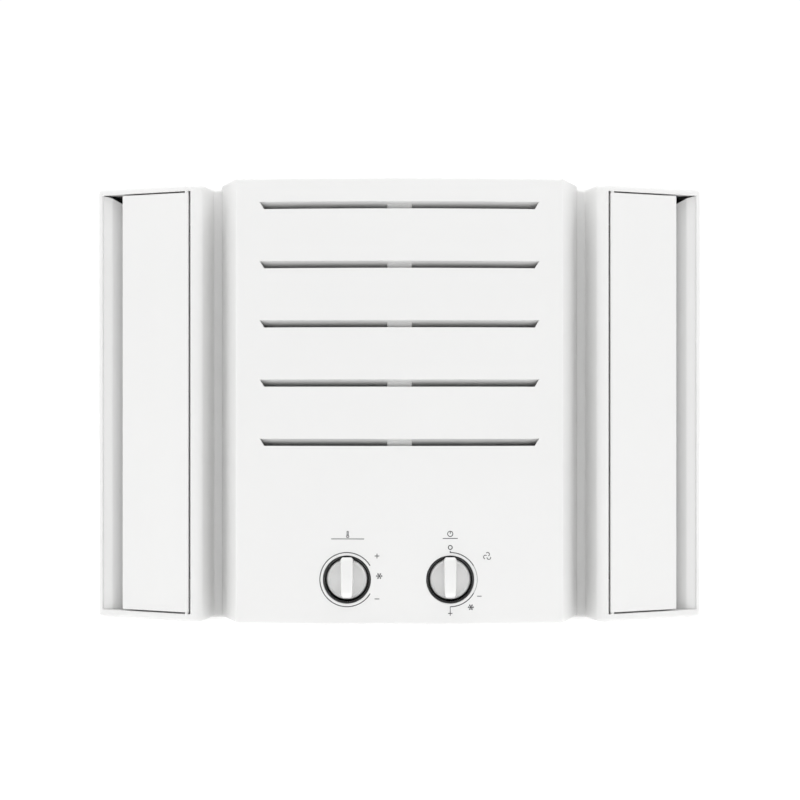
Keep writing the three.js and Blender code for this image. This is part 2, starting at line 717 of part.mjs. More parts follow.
const condenserHalf = panHalf - 26;
const condenser = [condenserFront, condenserBack];
const condenserBottom = panTop + TOUCH;
const condenserTop = innerTop - 4;
const condenserFins = box([-condenserHalf, condenserHalf], condenser, [condenserBottom, condenserTop]);
part('condenser_fins', condenserFins, aluminium);
const condenserHeight = [condenserBottom, condenserTop];
const condenserEnd = coilEnd(condenserHalf + TOUCH, condenser, condenserHeight, COIL_BENDS);
pair('condenser_left_end', 'condenser_right_end', condenserEnd, copper);

// A shallow tray under the evaporator, with a spout that leads back into the base pan.
function drainTray() {
  const x = coilHalf + 14;
  const y = [COIL_FRONT - 2, sleeveFront - 4];
  const z = [coilBottom - TOUCH - 14, coilBottom - TOUCH];
  const tray = cut(
    box([-x, x], y, z),
    box([-x + 2, x - 2], [y[0] + 2, y[1] - 2], [z[0] + 2, z[1] + 1]),
    box([-8, 8], [y[1] - 3, y[1] + 1], [z[0] + 2, z[0] + 8]),
  );
  const feet = [-x + 1, x - 7].map((left) => (
    box([left, left + 6], [y[0] + 1, y[1] - 1], [z[0] + 1, coilBottom - TOUCH])));
  return join(tray, ...feet);
}

part('drain_tray', drainTray(), greyPlastic);

// The sensing bulb, clipped in front of the evaporator, and its thin pipe from the thermostat.
function thermostatBulb() {
  const x = coilHalf - 20;
  const y = COIL_FRONT - 4.4;
  const bulb = barZ(2.6, [coilBottom + 30, coilBottom + 96], x, y, 12);
  const run = [[x, y, coilBottom + 32], [x, y, coilBottom + 10], [x + 2, y, coilBottom - 4]];
  const pipe = tube(run, 2, 6, 6);
  return join(bulb, pipe);
}

part('thermostat_bulb', thermostatBulb(), copper);

// ---------- blower ----------

const inletRadius = INLET_DIAMETER / 2;
const wheelRadius = WHEEL_DIAMETER / 2;
const wheelFront = housingFront + 10;
const wheelBack = wheelFront + WHEEL_WIDTH;
const housingHalf = panHalf - 2;
const housingZ = [panTop + 12, innerTop - 4];

// A flat box with a round inlet, a window to each side outlet and two curved walls that lead to them.
function blowerHousing() {
  const wall = 2;
  const shell = cut(
    box([-housingHalf, housingHalf], [housingFront, housingBack], housingZ),
    box(
      [-housingHalf + wall, housingHalf - wall],
      [housingFront + wall, housingBack - wall],
      [housingZ[0] + wall, housingZ[1] - wall],
    ),
    barY(inletRadius + 4, [housingFront - 1, housingFront + wall + 1], 0, axisHeight, 32),
    barY(SHAFT_DIAMETER / 2 + 4, [housingBack - wall - 1, housingBack + 1], 0, axisHeight, 16),
  );
  const window = box(
    [outletInner + 2, outletOuter - 2],
    [housingFront - 1, housingFront + wall + 1],
    [outletBottom, Math.min(outletTop, housingZ[1] - 6)],
  );
  const spiral = [...Array(9).keys()].map((i) => {
    const angle = THREE.MathUtils.degToRad(20 + i * 17);
    const radius = wheelRadius + 12 + i * 2.4;
    return [radius, angle];
  });
  const along = (grow) => spiral.map(([r, a]) => (
    [(r + grow) * Math.cos(a), axisHeight + (r + grow) * Math.sin(a)]));
  const wallPoints = [...along(0), ...along(wall).reverse()];
  const inside = box(
    [-housingHalf + 1, housingHalf - 1],
    [housingFront + 1, housingBack - 1],
    [housingZ[0] + 1, housingZ[1] - 1],
  );
  const upper = elevation(wallPoints, [housingFront + 1, housingBack - 1]);
  const lower = elevation(
    wallPoints.map(([x, z]) => [-x, 2 * axisHeight - z]),
    [housingFront + 1, housingBack - 1],
  );
  return cut(join(shell, common(upper, inside), common(lower, inside)), window, mirrored(window));
}

// The flared ring in the housing's inlet.
function inletRing() {
  return turned([
    [inletRadius + 9, housingFront - TOUCH],
    [inletRadius + 9, housingFront - TOUCH - 2],
    [inletRadius + 1, housingFront - TOUCH - 2],
    [inletRadius - 4, housingFront + 4],
    [inletRadius - 4, wheelFront - 2],
    [inletRadius - 2, wheelFront - 2],
    [inletRadius - 2, housingFront + 4],
    [inletRadius + 2, housingFront - TOUCH],
    [inletRadius + 9, housingFront - TOUCH],
  ], 0, axisHeight, 32);
}

// Curved blades between a back plate and a front ring, with a hub for the shaft.
function blowerWheel() {
  const blade = [[-5, -1.5], [0, 0.4], [5, 4.2], [8, 8]];
  const thick = blade.map(([x, z]) => [x - 0.4, z + 1.1]).reverse();
  const single = elevation(
    [...blade, ...thick].map(([x, z]) => [x + wheelRadius - 10, z - 3]),
    [wheelFront + 1, wheelBack - 1],
  );
  const blades = [...Array(WHEEL_BLADES).keys()].map((i) => (
    single.clone().rotateY((i * 2 * Math.PI) / WHEEL_BLADES).translate(0, 0, axisHeight)));
  const rim = [
    [wheelRadius - 17, wheelFront],
    [wheelRadius - 17, wheelFront + 2],
    [wheelRadius, wheelFront + 2],
    [wheelRadius, wheelFront],
    [wheelRadius - 17, wheelFront],
  ];
  const shaftHole = SHAFT_DIAMETER / 2 + 0.35;
  const back = [
    [shaftHole, wheelBack - 24],
    [shaftHole, wheelBack],
    [wheelRadius, wheelBack],
    [wheelRadius, wheelBack - 2],
    [14, wheelBack - 2],
    [14, wheelBack - 24],
    [shaftHole, wheelBack - 24],
  ];
  return join(turned(rim, 0, axisHeight, 32), turned(back, 0, axisHeight, 32), ...blades);
}

part('blower_housing', blowerHousing(), greyPlastic);
part('inlet_ring', inletRing(), greyPlastic);
part('blower_wheel', blowerWheel(), greyPlastic);

// ---------- bulkhead, motor and shaft ----------

function bulkhead() {
  const y = [bulkheadFront, bulkheadBack];
  const plate = box([-panHalf + 2, panHalf - 2], y, [panTop + TOUCH, innerTop - 2]);
  return cut(plate, barY(SHAFT_DIAMETER / 2 + 6, [y[0] - 1, y[1] + 1], 0, axisHeight, 20));
}

function fanMotor() {
  const radius = MOTOR_DIAMETER / 2;
  const body = turned([
    [SHAFT_DIAMETER / 2 + 0.6, motorFront],
    [SHAFT_DIAMETER / 2 + 0.6, motorBack],
    [16, motorBack],
    [16, motorBack - 8],
    [radius - 6, motorBack - 12],
    [radius, motorBack - 20],
    [radius, motorFront + 20],
    [radius - 6, motorFront + 12],
    [16, motorFront + 8],
    [16, motorFront],
    [SHAFT_DIAMETER / 2 + 0.6, motorFront],
  ], 0, axisHeight, 24);
  return body;
}

// A folded bracket with a foot on the base pan and a split ring round the motor.
function motorBracket() {
  const middle = (motorFront + motorBack) / 2;
  const radius = MOTOR_DIAMETER / 2 + TOUCH;
  const ring = cut(
    barY(radius + 3, [middle - 9, middle + 9], 0, axisHeight, 32),
    barY(radius, [middle - 10, middle + 10], 0, axisHeight, 32),
  );
  const post = box([-32, 32], [middle - 3, middle + 3], [panTop + TOUCH, axisHeight - radius + 6]);
  const foot = box([-40, 40], [middle - 16, middle + 16], [panTop + TOUCH, panTop + TOUCH + 3]);
  const bore = barY(radius, [middle - 10, middle + 10], 0, axisHeight, 32);
  return cut(join(ring, post, foot), bore);
}

function fanShaft() {
  return barY(SHAFT_DIAMETER / 2, [wheelBack - 30, fanBack + 2], 0, axisHeight, 16);
}

part('bulkhead', bulkhead(), galvanized);
part('fan_motor', fanMotor(), motorGrey);
part('motor_bracket', motorBracket(), galvanized);
part('fan_shaft', fanShaft(), galvanized);

// ---------- condenser fan and shroud ----------

// Pitched blades on a hub, inside a ring that flings pan water on to the coil.
function condenserFan() {
  const radius = FAN_DIAMETER / 2;
  const middle = (fanFront + fanBack) / 2;
  const shaftHole = SHAFT_DIAMETER / 2 + 0.35;
  const hub = turned([
    [shaftHole, fanFront + 2],
    [shaftHole, fanBack - 2],
    [24, fanBack - 2],
    [24, fanFront + 2],
    [shaftHole, fanFront + 2],
  ], 0, 0, 24);
  const ring = turned([
    [radius - 5, middle - 7],
    [radius - 5, middle + 7],
    [radius, middle + 7],
    [radius, middle - 7],
    [radius - 5, middle - 7],
  ], 0, 0, 40);
  const blades = [...Array(FAN_BLADES).keys()].map((i) => {
    const blade = box([20, radius - 3], [-1.1, 1.1], [-26, 26]);
    blade.rotateX(THREE.MathUtils.degToRad(66));
    return blade.translate(0, middle, 0).rotateY((i * 2 * Math.PI) / FAN_BLADES);
  });
  const zone = barY(radius - 2, [fanFront, fanBack], 0, 0, 40);
  const trimmed = blades.map((blade) => common(blade, zone));
  const bore = barY(shaftHole, [fanFront - 1, fanBack + 1], 0, 0, 24);
  return cut(join(hub, ring, ...trimmed), bore).translate(0, 0, axisHeight);
}

function fanShroud() {
  const radius = FAN_DIAMETER / 2 + 6;
  const y = [shroudFront, shroudFront + 2];
  const plate = box([-panHalf + 3, panHalf - 3], y, [panTop + TOUCH, innerTop - 3]);
  const collar = barY(radius + 2, [shroudFront, fanBack - 2], 0, axisHeight, 40);
  const clip = box([-panHalf, panHalf], [shroudFront - 1, fanBack], [panTop + TOUCH, innerTop - 3]);
  const tunnel = barY(radius, [shroudFront - 1, fanBack + 1], 0, axisHeight, 40);
  return cut(join(plate, common(collar, clip)), tunnel);
}

part('condenser_fan', condenserFan(), greyPlastic);
part('fan_shroud', fanShroud(), greyPlastic);

// ---------- compressor and pipes ----------

const compressorX = panHalf - COMPRESSOR_DIAMETER / 2 - 22;
const compressorY = (bulkheadBack + shroudFront) / 2 - 22;
const compressorBase = panTop + 14;
const compressorTop = compressorBase + COMPRESSOR_HEIGHT;
const footCircle = COMPRESSOR_DIAMETER / 2 + 10;
const footPlaces = [90, 210, 330].map((degrees) => {
  const angle = THREE.MathUtils.degToRad(degrees);
  return [compressorX + footCircle * Math.cos(angle), compressorY + footCircle * Math.sin(angle)];
});

// A domed steel shell on a plate with three feet.
function compressor() {
  const radius = COMPRESSOR_DIAMETER / 2;
  const shell = revolved([
    [0, compressorBase + 2],
    [radius * 0.7, compressorBase + 4],
    [radius, compressorBase + 18],
    [radius, compressorTop - 24],
    [radius * 0.86, compressorTop - 9],
    [radius * 0.5, compressorTop - 1],
    [0, compressorTop],
    [0, compressorBase + 2],
  ], 32).translate(compressorX, compressorY, 0);
  const plate = [compressorBase, compressorBase + 3];
  const feet = footPlaces.map(([x, y]) => barZ(13, plate, x, y, 20));
  const middle = barZ(radius * 0.9, plate, compressorX, compressorY, 24);
  const arms = footPlaces.map(([x, y]) => {
    const dx = x - compressorX;
    const dy = y - compressorY;
    const arm = box([0, Math.hypot(dx, dy)], [-13, 13], plate);
    return arm.rotateZ(Math.atan2(dy, dx)).translate(compressorX, compressorY, 0);
  });
  const height = [compressorBase - 1, compressorBase + 4];
  const holes = footPlaces.map(([x, y]) => barZ(6.3, height, x, y, 16));
  return cut(join(shell, middle, ...feet, ...arms), ...holes);
}

// A rubber bush that passes through a foot and stands on the base pan, with a hole for its bolt.
function grommet([x, y]) {
  return revolved([
    [BOLT_DIAMETER / 2 + 0.5, panTop + TOUCH],
    [11, panTop + TOUCH],
    [11, compressorBase - TOUCH],
    [6, compressorBase - TOUCH],
    [6, compressorBase + 3 + TOUCH],
    [9, compressorBase + 3 + TOUCH],
    [9, compressorBase + 8],
    [BOLT_DIAMETER / 2 + 0.5, compressorBase + 8],
    [BOLT_DIAMETER / 2 + 0.5, panTop + TOUCH],
  ], 14).translate(x, y, 0);
}

// A bolt that stands up through a bush, with its nut run down on to the bush.
function mountingBolt([x, y]) {
  const nut = [compressorBase + 8 + TOUCH, compressorBase + 13];
  return join(barZ(BOLT_DIAMETER / 2, [panTop + TOUCH, nut[1] + 5], x, y, 12), barZ(4.6, nut, x, y, 6));
}

part('compressor', compressor(), darkSteel);
footPlaces.forEach((place, i) => part(`compressor_grommet_${i + 1}`, grommet(place), rubber));
footPlaces.forEach((place, i) => part(`compressor_bolt_${i + 1}`, mountingBolt(place), galvanized));

const coverBase = compressorTop + 2;
part('terminal_cover', revolved([
  [0, coverBase],
  [20, coverBase],
  [20, coverBase + 14],
  [14, coverBase + 20],
  [0, coverBase + 20],
  [0, coverBase],
], 20).translate(compressorX - 12, compressorY - 10, 0), black);

const accumulatorX = compressorX - COMPRESSOR_DIAMETER / 2 - ACCUMULATOR_DIAMETER / 2 - 2;
const accumulatorY = compressorY + 34;
const accumulatorBase = compressorBase + 34;
const accumulatorTop = accumulatorBase + ACCUMULATOR_HEIGHT;

function accumulator() {
  const radius = ACCUMULATOR_DIAMETER / 2;
  return revolved([
    [0, accumulatorBase - 10],
    [5, accumulatorBase - 10],
    [5, accumulatorBase],
    [radius, accumulatorBase + 12],
    [radius, accumulatorTop - 12],
    [5, accumulatorTop],
    [5, accumulatorTop + 8],
    [0, accumulatorTop + 8],
    [0, accumulatorBase - 10],
  ], 24).translate(accumulatorX, accumulatorY, 0);
}

part('accumulator', accumulator(), darkSteel);

// Pipes start and end a small gap away from what they are brazed to.
const pipeHigh = innerTop - 22;
const condenserInlet = condenserHalf + TOUCH + SHEET + 12;
part('discharge_line', tube([
  [compressorX + 14, compressorY + 14, compressorTop + TOUCH + 1],
  [compressorX + 14, compressorY + 14, pipeHigh - 14],
  [compressorX + 16, compressorY + 30, pipeHigh],
  [compressorX + 20, shroudFront - 16, pipeHigh],
], PIPE_DIAMETER, 16), copper);
part('suction_line', tube([
  [accumulatorX, accumulatorY, accumulatorTop + 8 + TOUCH],
  [accumulatorX, accumulatorY, pipeHigh - 30],
  [accumulatorX - 4, accumulatorY - 24, pipeHigh - 10],
  [accumulatorX - 8, bulkheadBack + 8, pipeHigh - 10],
], PIPE_DIAMETER + 2, 16), copper);

const drierX = -panHalf + 46;
const drierY = bulkheadBack + 40;

// The drier hangs upright beside the motor, with a pipe stub at each end.
function filterDrier() {
  return revolved([
    [0, axisHeight - 52],
    [3, axisHeight - 52],
    [3, axisHeight - 44],
    [10, axisHeight - 36],
    [10, axisHeight + 36],
    [4, axisHeight + 44],
    [4, axisHeight + 54],
    [0, axisHeight + 54],
    [0, axisHeight - 52],
  ], 16).translate(drierX, drierY, 0);
}

part('filter_drier', filterDrier(), copper);
part('liquid_line', tube([
  [drierX, drierY, axisHeight + 54 + TOUCH],
  [drierX, drierY, pipeHigh - 30],
  [drierX, drierY + 20, pipeHigh - 8],
  [drierX, shroudFront - 14, pipeHigh - 8],
], PIPE_DIAMETER - 2, 14), copper);

// Three turns of thin tube below the drier, then a run up towards the evaporator.
function capillaryTube() {
  const turns = 3;
  const steps = turns * 8;
  const coiled = [...Array(steps + 1).keys()].map((i) => {
    const angle = (i / 8) * 2 * Math.PI;
    const z = axisHeight - 62 - (i / 8) * 6;
    return [drierX + 24 + 18 * Math.cos(angle), drierY + 6 + 18 * Math.sin(angle), z];
  });
  const [, , lowest] = coiled[steps];
  const end = [drierX + 50, bulkheadBack + 8, lowest - 14];
  return tube([...coiled, end], CAPILLARY_DIAMETER, 40, 5);
}

part('capillary_tube', capillaryTube(), copper);

// ---------- capacitor ----------

const capacitorX = -panHalf + 60;
const capacitorY = shroudFront - 48;
part('run_capacitor', revolved([
  [0, panTop + TOUCH + 2],
  [22, panTop + TOUCH + 2],
  [24, panTop + TOUCH + 4],
  [24, panTop + 84],
  [21, panTop + 87],
  [0, panTop + 87],
  [0, panTop + TOUCH + 2],
], 24).translate(capacitorX, capacitorY, 0), motorGrey);

function capacitorClamp() {
  const z = [panTop + 30, panTop + 44];
  const ring = barZ(24 + TOUCH + 1.4, z, capacitorX, capacitorY, 32);
  const y = [capacitorY - 7, capacitorY + 7];
  const leg = box([capacitorX - 33, capacitorX - 20], y, [panTop + TOUCH, z[1]]);
  const foot = box([capacitorX - 42, capacitorX - 27], y, [panTop + TOUCH, panTop + 2]);
  const bore = barZ(24 + TOUCH, [panTop, z[1] + 1], capacitorX, capacitorY, 32);
  return cut(join(ring, leg, foot), bore);
}

part('capacitor_clamp', capacitorClamp(), galvanized);

// ---------- base pan, sleeve and guard ----------

// A pan with an upturned rim, standing on two long runners.
function basePan() {
  const y = [panFront, panBack];
  const pan = cut(
    box([-panHalf, panHalf], y, [CABINET_LIFT, CABINET_LIFT + PAN_RIM]),
    box(
      [-panHalf + PAN_SHEET, panHalf - PAN_SHEET],
      [y[0] + PAN_SHEET, y[1] - PAN_SHEET],
      [panTop, CABINET_LIFT + PAN_RIM + 1],
    ),
    barZ(8, [CABINET_LIFT - 1, panTop + 1], 0, condenserFront - 30, 16),
  );
  const runner = box(
    [panHalf - RUNNER_INSET - RUNNER_WIDTH, panHalf - RUNNER_INSET],
    [y[0] + 6, y[1] - 6],
    [0, CABINET_LIFT + 1],
  );
  return join(pan, runner, mirrored(runner));
}

part('base_pan', basePan(), galvanized);

function louvres(count, pitch, middle) {
  return [...Array(count).keys()].map((i) => middle + (i - (count - 1) / 2) * pitch);
}

// A steel wrap over the top and both sides, with louvres near its back.
function cabinetSleeve() {
  const y = [sleeveFront, guardFront];
  const inner = sleeveHalf - SHEET;
  const wrap = cut(
    box([-sleeveHalf, sleeveHalf], y, [CABINET_LIFT, sleeveTop]),
    box([-inner, inner], [y[0] - 1, y[1] + 1], [CABINET_LIFT - 1, sleeveTop - SHEET]),
  );
  const half = LOUVRE_HEIGHT / 2;
  const sideStarts = [shroudFront - LOUVRE_LENGTH - 26, shroudFront - 10];
  const side = louvres(SIDE_LOUVRES, SIDE_PITCH, (panTop + innerTop) / 2 + 10).flatMap((z) => (
    sideStarts.map((start) => (
      box([inner - 1, sleeveHalf + 1], [start, start + LOUVRE_LENGTH], [z - half, z + half])))));
  const top = louvres(TOP_LOUVRES, TOP_PITCH, shroudFront - 30).flatMap((depth) => (
    louvres(3, TOP_SPACING, 0).map((x) => (
      box([x - 46, x + 46], [depth - half, depth + half], [sleeveTop - SHEET - 1, sleeveTop + 1])))));
  return cut(wrap, ...side, ...side.map(mirrored), ...top);
}

// The guard behind the condenser: a rim with upright bars and two level ties.
function rearGuard() {
  const y = [guardFront + TOUCH, backEnd];
  const z = [CABINET_LIFT, sleeveTop];
  const rim = GUARD_RIM;
  const frame = cut(
    box([-sleeveHalf, sleeveHalf], y, z),
    box([-sleeveHalf + 2, sleeveHalf - 2], [y[0] - 1, y[1] - 3], [z[0] + 2, z[1] - 2]),
    box([-sleeveHalf + rim, sleeveHalf - rim], [y[0] - 1, y[1] + 1], [z[0] + rim, z[1] - rim]),
  );
  const bars = louvres(GUARD_BARS, (2 * (sleeveHalf - rim)) / (GUARD_BARS + 1), 0).map((x) => (
    box([x - 1.6, x + 1.6], [y[1] - 4, y[1] - 0.6], [z[0] + rim - 2, z[1] - rim + 2])));
  const ties = [1, 2].map((i) => {
    const level = z[0] + (i * (z[1] - z[0])) / 3;
    const x = [-sleeveHalf + rim - 2, sleeveHalf - rim + 2];
    return box(x, [y[1] - 7, y[1] - 1.6], [level - 2, level + 2]);
  });
  return join(frame, ...bars, ...ties);
}

part('cabinet_sleeve', cabinetSleeve(), painted);
part('rear_guard', rearGuard(), painted);

// ---------- small pieces on the cabinet ----------

// A slotted screw head on the sleeve's side.
function cabinetScrew(y, z) {
  const x = sleeveHalf + TOUCH;
  const slot = box([x + 1.2, x + 3], [y - 4, y + 4], [z - 0.6, z + 0.6]);
  return cut(barX(5, [x, x + 2.4], y, z, 20), slot);
}

const screwPlaces = [[sleeveFront + 16, CABINET_LIFT + 12], [guardFront - 14, CABINET_LIFT + 12]];
screwPlaces.forEach(([y, z], i) => {
  pair(`left_cabinet_screw_${i + 1}`, `right_cabinet_screw_${i + 1}`, cabinetScrew(y, z), galvanized);
});

// The gland where the supply lead would leave the cabinet.
function cordGland() {
  const x = sleeveHalf + TOUCH;
  const body = join(barX(11, [x, x + 4], sleeveFront + 46, CABINET_LIFT + 34, 24),
    barX(8, [x + 3, x + 11], sleeveFront + 46, CABINET_LIFT + 34, 24));
  return cut(body, barX(4, [x - 1, x + 12], sleeveFront + 46, CABINET_LIFT + 34, 16));
}

part('cord_gland', cordGland(), black);

// The drain spout hangs under the pan's hole and stays above the surface the unit stands on.
part('drain_spout', revolved([
  [4, 0.8],
  [6, 0.8],
  [6, CABINET_LIFT - 2],
  [12, CABINET_LIFT - 2],
  [12, CABINET_LIFT - TOUCH],
  [4, CABINET_LIFT - TOUCH],
  [4, 0.8],
], 20).translate(0, condenserFront - 30, 0), black);

chassis.position.y = -(backEnd - KNOB_PROUD) / 2;
const airConditioner = new THREE.Group();
airConditioner.add(chassis);
export default airConditioner;
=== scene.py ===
"""Window air conditioner: the visible surfaces, finishes, floor, lights and camera round the fixed frame."""

import json
import math

import bmesh
import bpy
import numpy as np
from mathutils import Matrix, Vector

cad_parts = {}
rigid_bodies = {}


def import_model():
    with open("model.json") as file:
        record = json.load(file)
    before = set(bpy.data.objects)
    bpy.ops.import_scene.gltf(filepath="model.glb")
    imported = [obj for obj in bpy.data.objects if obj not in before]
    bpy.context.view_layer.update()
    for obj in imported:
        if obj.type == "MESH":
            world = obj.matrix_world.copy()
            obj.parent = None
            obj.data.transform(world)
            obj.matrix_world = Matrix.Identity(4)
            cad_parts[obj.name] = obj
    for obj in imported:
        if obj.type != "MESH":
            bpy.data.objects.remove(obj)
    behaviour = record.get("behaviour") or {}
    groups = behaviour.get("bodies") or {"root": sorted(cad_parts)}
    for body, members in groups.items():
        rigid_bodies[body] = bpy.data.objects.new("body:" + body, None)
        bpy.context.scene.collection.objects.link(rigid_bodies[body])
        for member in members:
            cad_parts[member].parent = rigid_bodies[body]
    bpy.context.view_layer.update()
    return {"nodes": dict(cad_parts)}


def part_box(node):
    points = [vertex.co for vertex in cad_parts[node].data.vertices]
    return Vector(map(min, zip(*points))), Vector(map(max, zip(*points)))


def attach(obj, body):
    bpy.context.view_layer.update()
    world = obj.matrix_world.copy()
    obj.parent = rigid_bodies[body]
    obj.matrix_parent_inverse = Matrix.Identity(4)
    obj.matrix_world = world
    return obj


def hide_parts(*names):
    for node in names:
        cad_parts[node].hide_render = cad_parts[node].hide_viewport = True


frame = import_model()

bl_info = {
    "name": "Window air conditioner",
    "version": (1, 0, 0),
    "blender": (4, 5, 0),
    "location": "3D View > Sidebar > Air conditioner",
    "description": "Builds the visible pieces of a window air conditioner round its fixed frame",
    "category": "Object",
}


def corners(node):
    """A node's lowest and highest corners as numpy arrays."""
    low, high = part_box(node)
    return np.array(low), np.array(high)


FRAME_LOW, FRAME_HIGH = corners("front_frame")
PANEL_LOW, PANEL_HIGH = corners("centre_panel")
SLEEVE_LOW, SLEEVE_HIGH = corners("cabinet_sleeve")
GUARD_LOW, GUARD_HIGH = corners("rear_guard")
FLAP_LOW, FLAP_HIGH = corners("right_flap")
FILTER_LOW, FILTER_HIGH = corners("air_filter")
GRILLE_LOW, GRILLE_HIGH = corners("right_outlet_grille")
FACE = PANEL_LOW[1]
FRAME_BACK = FRAME_HIGH[1]


# ---------- sizes and colours that a user would change ----------


def length_prop(name, description, default):
    return bpy.props.FloatProperty(name=name, description=description, default=default, unit="LENGTH")


def colour_prop(name, description, default):
    return bpy.props.FloatVectorProperty(name=name, description=description, default=default, size=3,
                                         min=0.0, max=1.0, subtype="COLOR")


class FrontSizes(bpy.types.PropertyGroup):
    """Sizes of the moulded front"""

    wall: length_prop("Wall", "Thickness of the moulded front's walls", 0.0025)
    edge: length_prop("Edge", "Radius of the front's upper and lower edges", 0.0028)
    panel_edge: length_prop("Panel edge", "Radius of the centre panel's edges", 0.0022)
    shoulder: length_prop("Shoulder", "Radius where a wing turns into the valley", 0.006)
    bow: length_prop("Bow", "How far the centre panel's sides fall back from its middle", 0.009)
    slot_height: length_prop("Slot height", "Height of an air slot", 0.0056)
    slot_length: length_prop("Slot length", "Length of an air slot along its upper edge", 0.2148)
    slot_pitch: length_prop("Slot pitch", "Distance from one air slot to the next", 0.0454)
    slot_below_top: length_prop("First slot", "Distance of the first slot below the panel's top", 0.0214)
    slot_slant: length_prop("Slot slant", "How much shorter a slot is along its lower edge", 0.0034)
    slot_count: bpy.props.IntProperty(name="Slots", description="Number of air slots", default=5, min=1)


class KnobSizes(bpy.types.PropertyGroup):
    """Sizes of the knobs and their scales"""

    disc: length_prop("Disc", "Diameter of a knob's round skirt", 0.031)
    well: length_prop("Well", "Diameter of the dark cup round a knob", 0.0369)
    grip: length_prop("Grip", "Width of the raised bar across a knob", 0.0094)
    scale_radius: length_prop("Scale radius", "Radius of the printed arc round a knob", 0.0207)
    line: length_prop("Line", "Width of a printed line", 0.0007)


class CabinetSizes(bpy.types.PropertyGroup):
    """Sizes of the steel cabinet and the coils"""

    fold: length_prop("Fold", "Outer radius of the folds of the steel wrap", 0.004)
    louvre_rise: length_prop("Louvre rise", "How far a pressed louvre stands out", 0.0032)
    fin_pitch: length_prop("Fin pitch", "Distance from one coil fin to the next", 0.0024)
    mesh_pitch: length_prop("Mesh pitch", "Distance between the threads of the filter's mesh", 0.0028)


class Finishes(bpy.types.PropertyGroup):
    """Colours of the finishes"""

    white: colour_prop("White plastic", "Moulded front, panel and knobs", (0.86, 0.86, 0.855))
    grey: colour_prop("Grey plastic", "Air path, filter and fans", (0.30, 0.31, 0.31))
    black: colour_prop("Black plastic", "Knob wells and electrical parts", (0.006, 0.006, 0.007))
    paint: colour_prop("Cabinet paint", "Powder coat on the cabinet", (0.78, 0.775, 0.75))
    ink: colour_prop("Scale ink", "Printed scales round the knobs", (0.045, 0.045, 0.05))
    zinc: colour_prop("Zinc", "Galvanized sheet", (0.55, 0.57, 0.58))
    aluminium: colour_prop("Aluminium", "Coil fins", (0.72, 0.74, 0.75))
    copper: colour_prop("Copper", "Pipes and return bends", (0.72, 0.36, 0.22))
    enamel: colour_prop("Black enamel", "Compressor and accumulator", (0.012, 0.012, 0.013))
    rubber: colour_prop("Rubber", "Compressor bushes", (0.02, 0.02, 0.02))
    motor: colour_prop("Motor grey", "Motor and capacitor cans", (0.28, 0.30, 0.31))


# ---------- surfaces ----------


def grid_quads(rows, columns, closed=False):
    """Quads of a grid of points stored row by row. A closed grid joins its last column to its first."""
    last = columns if closed else columns - 1
    r, c = np.meshgrid(np.arange(rows - 1), np.arange(last), indexing="ij")
    r, c = r.ravel(), c.ravel()
    following = (c + 1) % columns
    return np.stack([r * columns + c, r * columns + following, (r + 1) * columns + following,
                     (r + 1) * columns + c], axis=1)


def rounded_path(points, radii, steps=6):
    """A polyline whose corners are arcs: each corner gives way to an arc of its radius that touches both sides."""
    points = np.asarray(points, float)
    pieces = [points[:1]]
    for before, corner, after, radius in zip(points[:-2], points[1:-1], points[2:], radii):
        if radius <= 0:
            pieces.append(corner[None])
            continue
        a = (before - corner) / np.linalg.norm(before - corner)
        b = (after - corner) / np.linalg.norm(after - corner)
        half = math.acos(np.clip(a @ b, -1, 1)) / 2
        middle = (a + b) / np.linalg.norm(a + b)
        centre = corner + middle * radius / math.sin(half)
        start, end = corner + a * radius / math.tan(half), corner + b * radius / math.tan(half)
        t = np.linspace(0, 1, steps + 1)[:, None]
        turn = math.pi - 2 * half
        u, v = (start - centre), (end - centre)
        pieces.append(centre + (np.sin((1 - t) * turn) * u + np.sin(t * turn) * v) / math.sin(turn))
    pieces.append(points[-1:])
    return np.concatenate(pieces)


def path_normals(path, closed=False):
    """Unit normals of a flat path, on its right-hand side as it is walked."""
    if closed:
        ahead, behind = np.roll(path, -1, 0) - path, path - np.roll(path, 1, 0)
    else:
        step = np.diff(path, axis=0)
        ahead, behind = np.vstack([step, step[-1:]]), np.vstack([step[:1], step])
    ahead /= np.linalg.norm(ahead, axis=1, keepdims=True)
    behind /= np.linalg.norm(behind, axis=1, keepdims=True)
    mean = ahead + behind
    mean /= np.linalg.norm(mean, axis=1, keepdims=True)
    scale = 1 / np.clip((mean * ahead).sum(1), 0.5, 1)
    return np.stack([mean[:, 1], -mean[:, 0]], axis=1) * scale[:, None]


def quarter_levels(low, high, radius, steps=4):
    """Heights and insets that carry a section from low to high with both ends rounded by a quarter circle."""
    angle = np.linspace(0, math.pi / 2, steps + 1)
    lower = np.stack([low + radius * (1 - np.cos(angle)), radius * (1 - np.sin(angle))], axis=1)
    upper = np.stack([high - radius * (1 - np.cos(angle[::-1])), radius * (1 - np.sin(angle[::-1]))], axis=1)
    return np.concatenate([lower, upper])


def carried(outline, levels, place):
    """A closed outline carried through levels of (height, inset), capped at both ends.
    place turns (a, b, height) columns into x, y, z."""
    outline = np.asarray(outline, float)
    inward = -path_normals(outline, closed=True)
    if polygon_area(outline) < 0:
        inward = -inward
    levels = np.asarray(levels, float)
    rings = outline[None] + inward[None] * levels[:, 1][:, None, None]
    heights = np.repeat(levels[:, 0], len(outline))[:, None]
    points = place(np.hstack([rings.reshape(-1, 2), heights]))
    count = len(outline)
    faces = grid_quads(len(levels), count, closed=True).tolist()
    faces.append(list(range(count))[::-1])
    faces.append([(len(levels) - 1) * count + i for i in range(count)])
    return points, faces


def polygon_area(outline):
    following = np.roll(outline, -1, 0)
    return ((outline[:, 0] * following[:, 1] - outline[:, 1] * following[:, 0]).sum()) / 2


